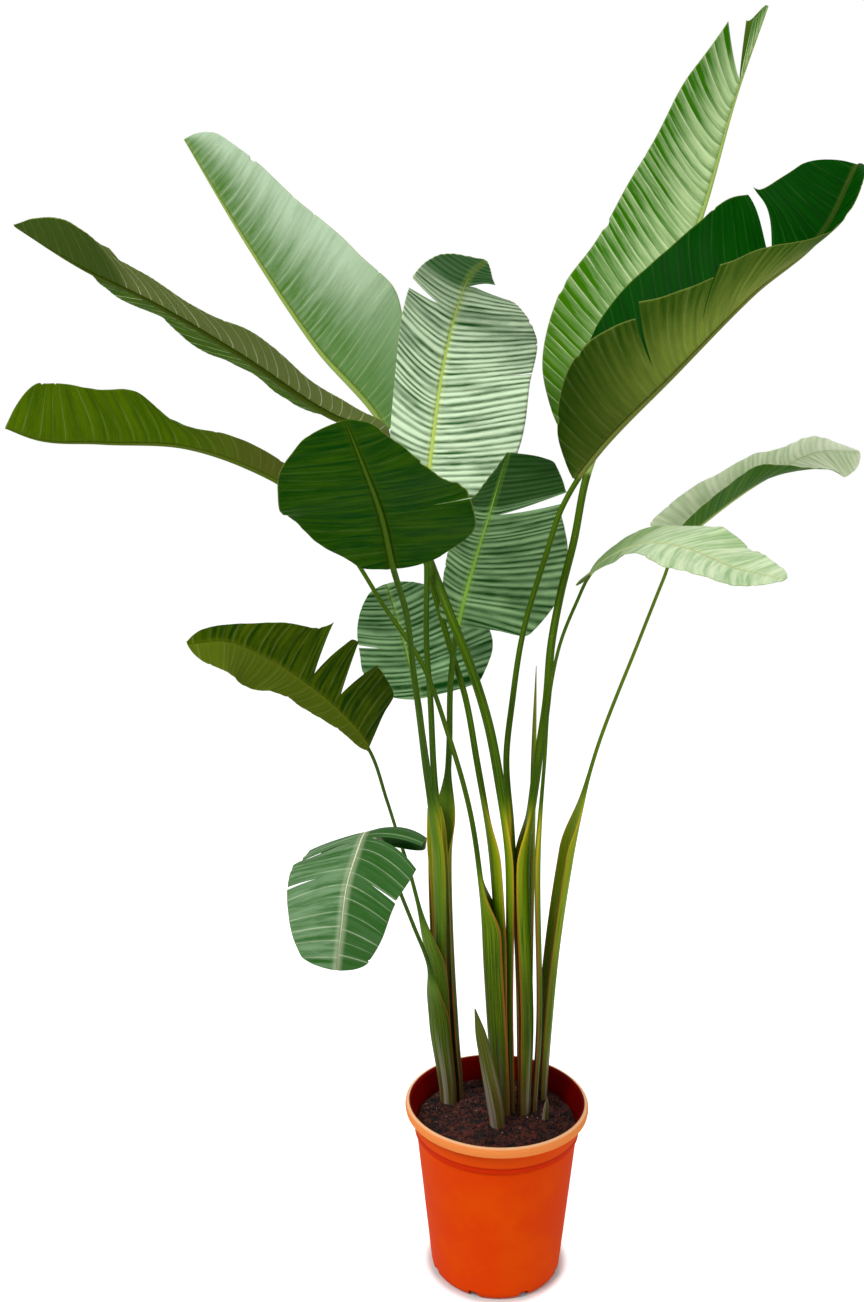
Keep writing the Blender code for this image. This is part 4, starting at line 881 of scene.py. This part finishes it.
LEFT_FAN = {
    "centre_upright": grow(
        -1, "leaf pale", 0.0055, 1.5, (0.003, 3), rib=(188, 212, 96),
        face=((-0.20, -1.0, 0.1), (0.0, -0.7, -0.5)),
        upper=skin((8, 84, 10), (224, 248, 208), level=0.22, streaks=0.5, stripes=0.9, lines=0.0,
                   tip=(40, 104, 36), tip_from=0.78, gloss=0.08),
        stalk=((-0.077, 0.034, 0.580), (-0.083, 0.038, 0.673), (-0.087, 0.040, 0.760), (-0.091, 0.034, 0.815),
               (-0.091, 0.022, 0.915)),
        midrib=((-0.091, 0.026, 0.998), (-0.083, 0.034, 1.078), (-0.066, 0.036, 1.188),
                (-0.054, 0.015, 1.233), (-0.039, -0.025, 1.266), (-0.024, -0.060, 1.274)),
        left=half((0.04, 0.05, 0.055, 0.06, 0.055, 0.02), (8, 5, 10), tear(0.70, 0.35, 0.018, 0.004),
                  back=0.02),
        right=half((0.08, 0.105, 0.105, 0.10, 0.06, 0.01), (5, 3, 5),
                   tear(0.82, 0.20, 0.030, 0.004, keep=0.5), tear(0.45, 0.70, 0.003))),
    "front_dark": grow(
        1, "leaf dark", 0.0055, 0.25, (0.005, 3), rib=(74, 104, 4),
        face=((0.05, 0.75, 0.60), (0.0, 0.50, 0.80)),
        under=skin((14, 68, 0), (72, 110, 4), level=0.22, streaks=0.5, lines=0.05, gloss=0.03),
        stalk=((-0.081, 0.012, 0.590), (-0.092, -0.010, 0.673), (-0.099, -0.035, 0.740),
               (-0.106, -0.070, 0.806), (-0.114, -0.120, 0.885)),
        midrib=((-0.126, -0.160, 0.935), (-0.136, -0.240, 0.998), (-0.149, -0.320, 1.047),
                (-0.162, -0.365, 1.087)),
        left=half((0.03, 0.085, 0.092, 0.07, 0.038, 0.022), (-5, -5, -5), tear(0.42, 0.35, 0.003)),
        right=half((0.02, 0.064, 0.088, 0.086, 0.070, 0.03), (-10, -10, -10), back=0.012)),
    "centre_right": grow(
        -3, "leaf dark", 0.0060, 1.2, (0.004, 3), rib=(146, 196, 74),
        face=((0.45, -1.0, 0.30), (0.45, -1.0, 0.10)),
        upper=skin((10, 72, 8), (174, 218, 154), level=0.12, stripes=0.64, lines=0.0, tip=(30, 74, 14),
                   tip_from=0.66, gloss=0.06),
        stalk=((-0.066, 0.070, 0.590), (-0.062, 0.062, 0.688), (-0.060, 0.058, 0.780)),
        midrib=((-0.052, 0.060, 0.843), (-0.033, 0.048, 0.922), (-0.014, 0.010, 0.993),
                (0.004, -0.030, 1.062)),
        left=half((0.025, 0.034, 0.040, 0.050, 0.052, 0.03), (5, 5, 25, 50)),
        right=half((0.08, 0.124, 0.114, 0.092, 0.080, 0.055), (5, 5, 5),
                   tear(0.64, 0.10, 0.020, 0.004, lean=0.010), back=0.022)),
    "centre_low": grow(
        -2, "leaf dark", 0.0040, 1.2, (0.003, 3), rib=(140, 182, 74),
        face=((0.10, -1.0, 0.30), (0.10, -1.0, 0.30)),
        upper=skin((10, 70, 10), (170, 214, 154), level=0.10, stripes=0.64, lines=0.0, gloss=0.07),
        stalk=((-0.077, 0.058, 0.575), (-0.087, 0.070, 0.640), (-0.096, 0.084, 0.700)),
        midrib=((-0.102, 0.097, 0.741), (-0.116, 0.125, 0.790), (-0.130, 0.142, 0.838),
                (-0.146, 0.155, 0.888)),
        left=half((0.03, 0.06, 0.06, 0.055, 0.042, 0.02), (5, 5, 5), tear(0.45, 0.55, 0.004)),
        right=half((0.07, 0.110, 0.110, 0.090, 0.060, 0.02), (5, 5, 5), back=0.010)),
    "lower_left": grow(
        2, "leaf green", 0.0035, 0.6, (0.003, 3), rib=(104, 116, 16), sheath_top=0.50,
        face=((0.50, -0.50, 0.70), (0.0, -0.60, 0.80)),
        upper=skin((30, 60, 0), (92, 110, 12), level=0.22, streaks=0.5, stripes=0.25, lines=0.1,
                   left=(92, 108, 26), gloss=0.03),
        stalk=((-0.083, 0.028, 0.400), (-0.100, 0.012, 0.481), (-0.114, 0.000, 0.542),
               (-0.128, -0.014, 0.594), (-0.140, -0.030, 0.640)),
        midrib=((-0.161, -0.060, 0.713), (-0.202, -0.090, 0.771), (-0.233, -0.110, 0.802),
                (-0.266, -0.130, 0.830), (-0.314, -0.160, 0.856), (-0.348, -0.180, 0.856)),
        left=half((0.01, 0.022, 0.030, 0.045, 0.045, 0.02), (-10, -10, -5)),
        right=half((0.095, 0.100, 0.090, 0.062, 0.030, 0.010), (5, 15, 15), tear(0.26, 0.20, 0.036, 0.004),
                   tear(0.42, 0.20, 0.030, 0.006), back=0.022, lead=-0.06)),
    "lowest": grow(
        3, "leaf pale", 0.0035, 0.5, (0.003, 2), rib=(222, 230, 190), sheath=0.0200, sheath_top=0.43,
        face=((-0.30, 0.10, 1.0), (0.0, -1.0, -0.10)),
        upper=skin((48, 98, 36), (150, 182, 142), level=0.24, streaks=0.5, stripes=0.12, lines=0.45,
                   line=(214, 226, 190), left=(46, 92, 32)),
        under=DEEP_GREEN,
        stalk=((-0.088, -0.012, 0.416), (-0.107, -0.050, 0.485), (-0.123, -0.085, 0.543),
               (-0.134, -0.120, 0.592)),
        midrib=((-0.143, -0.150, 0.621), (-0.156, -0.200, 0.652), (-0.164, -0.250, 0.643),
                (-0.172, -0.280, 0.620), (-0.177, -0.295, 0.580), (-0.182, -0.300, 0.539)),
        left=half((0.055, 0.068, 0.062, 0.05, 0.04, 0.025), (15, -4, 0), tear(0.35, 0.10, 0.026),
                  tear(0.58, 0.45, 0.003), curl=(-90, -5, 0), back=0.01),
        right=half((0.05, 0.065, 0.065, 0.06, 0.05, 0.03), (8, -4, 0), tear(0.35, 0.10, 0.008),
                   tear(0.58, 0.45, 0.003), curl=(-25, -5, 0), back=0.01)),
}
RIGHT_FAN = {
    "far_right": grow(
        0, "leaf pale", 0.0035, 0.8, (0.003, 3), rib=(170, 190, 110),
        face=((-0.50, -0.35, 0.70), (0.0, -0.35, 1.0)),
        upper=skin((118, 170, 84), (240, 252, 212), level=0.66, streaks=0.4, stripes=0.25, lines=0.1),
        under=skin((30, 84, 2), (96, 136, 40), level=0.3),
        stalk=((0.0825, 0.062, 0.405), (0.0965, 0.062, 0.518), (0.112, 0.060, 0.614), (0.1255, 0.060, 0.668),
               (0.180, 0.056, 0.826), (0.208, 0.052, 0.905)),
        midrib=((0.224, 0.050, 0.948), (0.257, 0.055, 0.975), (0.334, 0.070, 1.028), (0.412, 0.080, 1.063),
                (0.457, 0.080, 1.063)),
        left=half((0.05, 0.058, 0.052, 0.042, 0.048, 0.02), (18, 8, -5), back=0.03),
        right=half((0.02, 0.04, 0.05, 0.055, 0.055, 0.02), (70, 55, 0, -30))),
}
number = 0
for fan, leaves in (
        (dict(centre=(0.0266, 0.022), spread=(-1.0, 0.0), pitch=0.0085, size=1.0, lean=(-0.002, 0.001),
              tones=((56, 92, 0), (124, 154, 22))), CENTRE_FAN),
        (dict(centre=(-0.058, 0.052), spread=(-0.62, -0.78), pitch=0.0050, size=0.80, lean=(-0.010, -0.006),
              tones=((52, 92, 8), (122, 154, 46))), LEFT_FAN),
        (dict(centre=(0.069, 0.057), spread=(1.0, 0.2), pitch=0.0070, size=1.0, lean=(0.005, 0.002),
              tones=((98, 134, 14), (160, 180, 44))), RIGHT_FAN)):
    for name, leaf in leaves.items():
        path, start = leaf_path(leaf, fan)
        make_blade(name, leaf, path, start, number)
        make_stem(name, leaf, fan, path, start)
        number += 1

# The young growth: a leaf still rolled into a thin spear, and two short shoots at the foot of the clump.
# Each is grown as one rolled leaf and reaches down into the soil.
ROLL_STATIONS = 90
ROLL_SIDES = 48
ROLL_STEP = 0.16
ROLL_GAP = 0.02
SHOOT_TAPER = (0.85, 0.94, 1.0, 0.94, 0.80, 0.62, 0.08)
YOUNG = {
    "spear": dict(
        foot=(0.045, 0.048), radius=0.0036, taper=(1, 1, 1, 1, 1.1, 1.15, 1.1, 0.8, 0.12),
        points=((0.046, 0.048, 0.330), (0.046, 0.048, 0.500), (0.047, 0.052, 0.690),
                (0.049, 0.055, 0.793))),
    "young_shoot": dict(
        foot=(0.000, -0.012), radius=0.0112, taper=SHOOT_TAPER,
        points=((-0.0055, -0.013, 0.240), (-0.0150, -0.015, 0.290), (-0.0230, -0.018, 0.330),
                (-0.0297, -0.020, 0.362))),
    "small_bud": dict(
        foot=(0.064, -0.001), radius=0.0060, taper=SHOOT_TAPER,
        points=((0.065, -0.002, 0.214), (0.066, -0.003, 0.231))),
}


def rolled(name, item):
    """A rolled leaf: rings of radius R(1 - 0.16 a / 2 pi) at angle a, so that the outer edge stands as
    a step along its length, turned a little with height."""
    x, y = item["foot"]
    path = smooth_path([(x, y, SOIL_FOOT), (x, y, SOIL_TOP), *item["points"]])
    fraction = np.linspace(0, 1, ROLL_STATIONS)
    radius = item["radius"] * spline(item["taper"], fraction)
    point, across, face, _ = frames(path, fraction, np.tile((0.0, -1.0, 0.0), (ROLL_STATIONS, 1)))
    angle = 2 * np.pi * np.arange(ROLL_SIDES) / (ROLL_SIDES - 1)
    angle[-1] = 2 * np.pi - ROLL_GAP
    turn = angle + 0.7 * fraction[:, None] - 0.6
    r = radius[:, None] * (1 - ROLL_STEP * angle / (2 * np.pi))
    rings = (point[:, None] + across[:, None] * (r * np.cos(turn))[..., None]
             + face[:, None] * (r * np.sin(turn))[..., None])
    growth = np.stack([(fraction * line_length(path))[:, None] + 0 * angle,
                       2 * angle / (2 * np.pi) - 1 + 0 * r, 0.6 + 0 * r], axis=-1)
    piece = make_tube(f"rolled_{name}", rings, point[[0, -1]], [young_material], growth, 40.0)
    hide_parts(name)
    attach(piece, "root")


young_material = stem_skin("young growth", (72, 88, 14), (126, 130, 54), (120, 140, 60))
for name, item in YOUNG.items():
    rolled(name, item)

# The studio: a pale floor, a soft key from the upper left, a weaker fill from the right and white air.
# The floor glows for the camera only and not under the pot, and each lamp faces the plant's axis. The
# camera stands where the photograph's did, looking nine degrees down.
FLOOR_SIZE = 30.0
FLOOR_LEVEL = -0.0004
floor_material, tree, shader = new_material("pale floor", 0.8, Base_Color=(0.86, 0.86, 0.86, 1.0),
                                            Emission_Color=(1.0, 1.0, 1.0, 1.0))
seen = add_node(tree, "LightPath").outputs["Is Camera Ray"]
away = add_node(tree, "VectorMath", {0: place_of(tree)}, operation="LENGTH").outputs["Value"]
glow = times(tree, seen, between(tree, away, 0.085, 0.100), 0.68)
tree.links.new(glow, shader.inputs["Emission Strength"])
corners = [(x * FLOOR_SIZE, y * FLOOR_SIZE, FLOOR_LEVEL) for x, y in ((-1, -1), (1, -1), (1, 1), (-1, 1))]
floor = make_piece("floor", corners, [(0, 1, 2, 3)], [floor_material])
for name, place, aim, size, power in (
        ("key", (-1.8, -1.6, 2.9), 0.9, 1.4, 70.0),
        ("fill", (2.2, -1.8, 1.6), 0.8, 2.0, 21.0),
        ("back", (0.8, 2.2, 2.6), 1.0, 1.6, 16.0)):
    lamp = bpy.data.lights.new(name, "AREA")
    lamp.size = size
    lamp.energy = power
    item = bpy.data.objects.new(name, lamp)
    x, y, z = unit(np.array((0.0, 0.0, aim)) - place)
    item.location = place
    item.rotation_euler = (math.atan2(math.hypot(x, y), -z), 0.0, math.atan2(-x, y))
    scene.collection.objects.link(item)
world = bpy.data.worlds.new("white air")
world.use_nodes = True
background = world.node_tree.nodes["Background"]
background.inputs[0].default_value = (1.0, 1.0, 1.0, 1.0)
seen = add_node(world.node_tree, "LightPath").outputs["Is Camera Ray"]
strength = figure(world.node_tree, "MULTIPLY_ADD", seen, 0.6, 0.4)
world.node_tree.links.new(strength, background.inputs[1])
scene.world = world
scene.view_settings.view_transform = "Standard"

camera_data = bpy.data.cameras.new("camera")
camera_data.lens = 32.9
camera = bpy.data.objects.new("camera", camera_data)
camera.location = (-0.0845, -1.447, 1.05)
camera.rotation_euler = (math.radians(81.0), 0.0, 0.0)
scene.collection.objects.link(camera)
scene.camera = camera
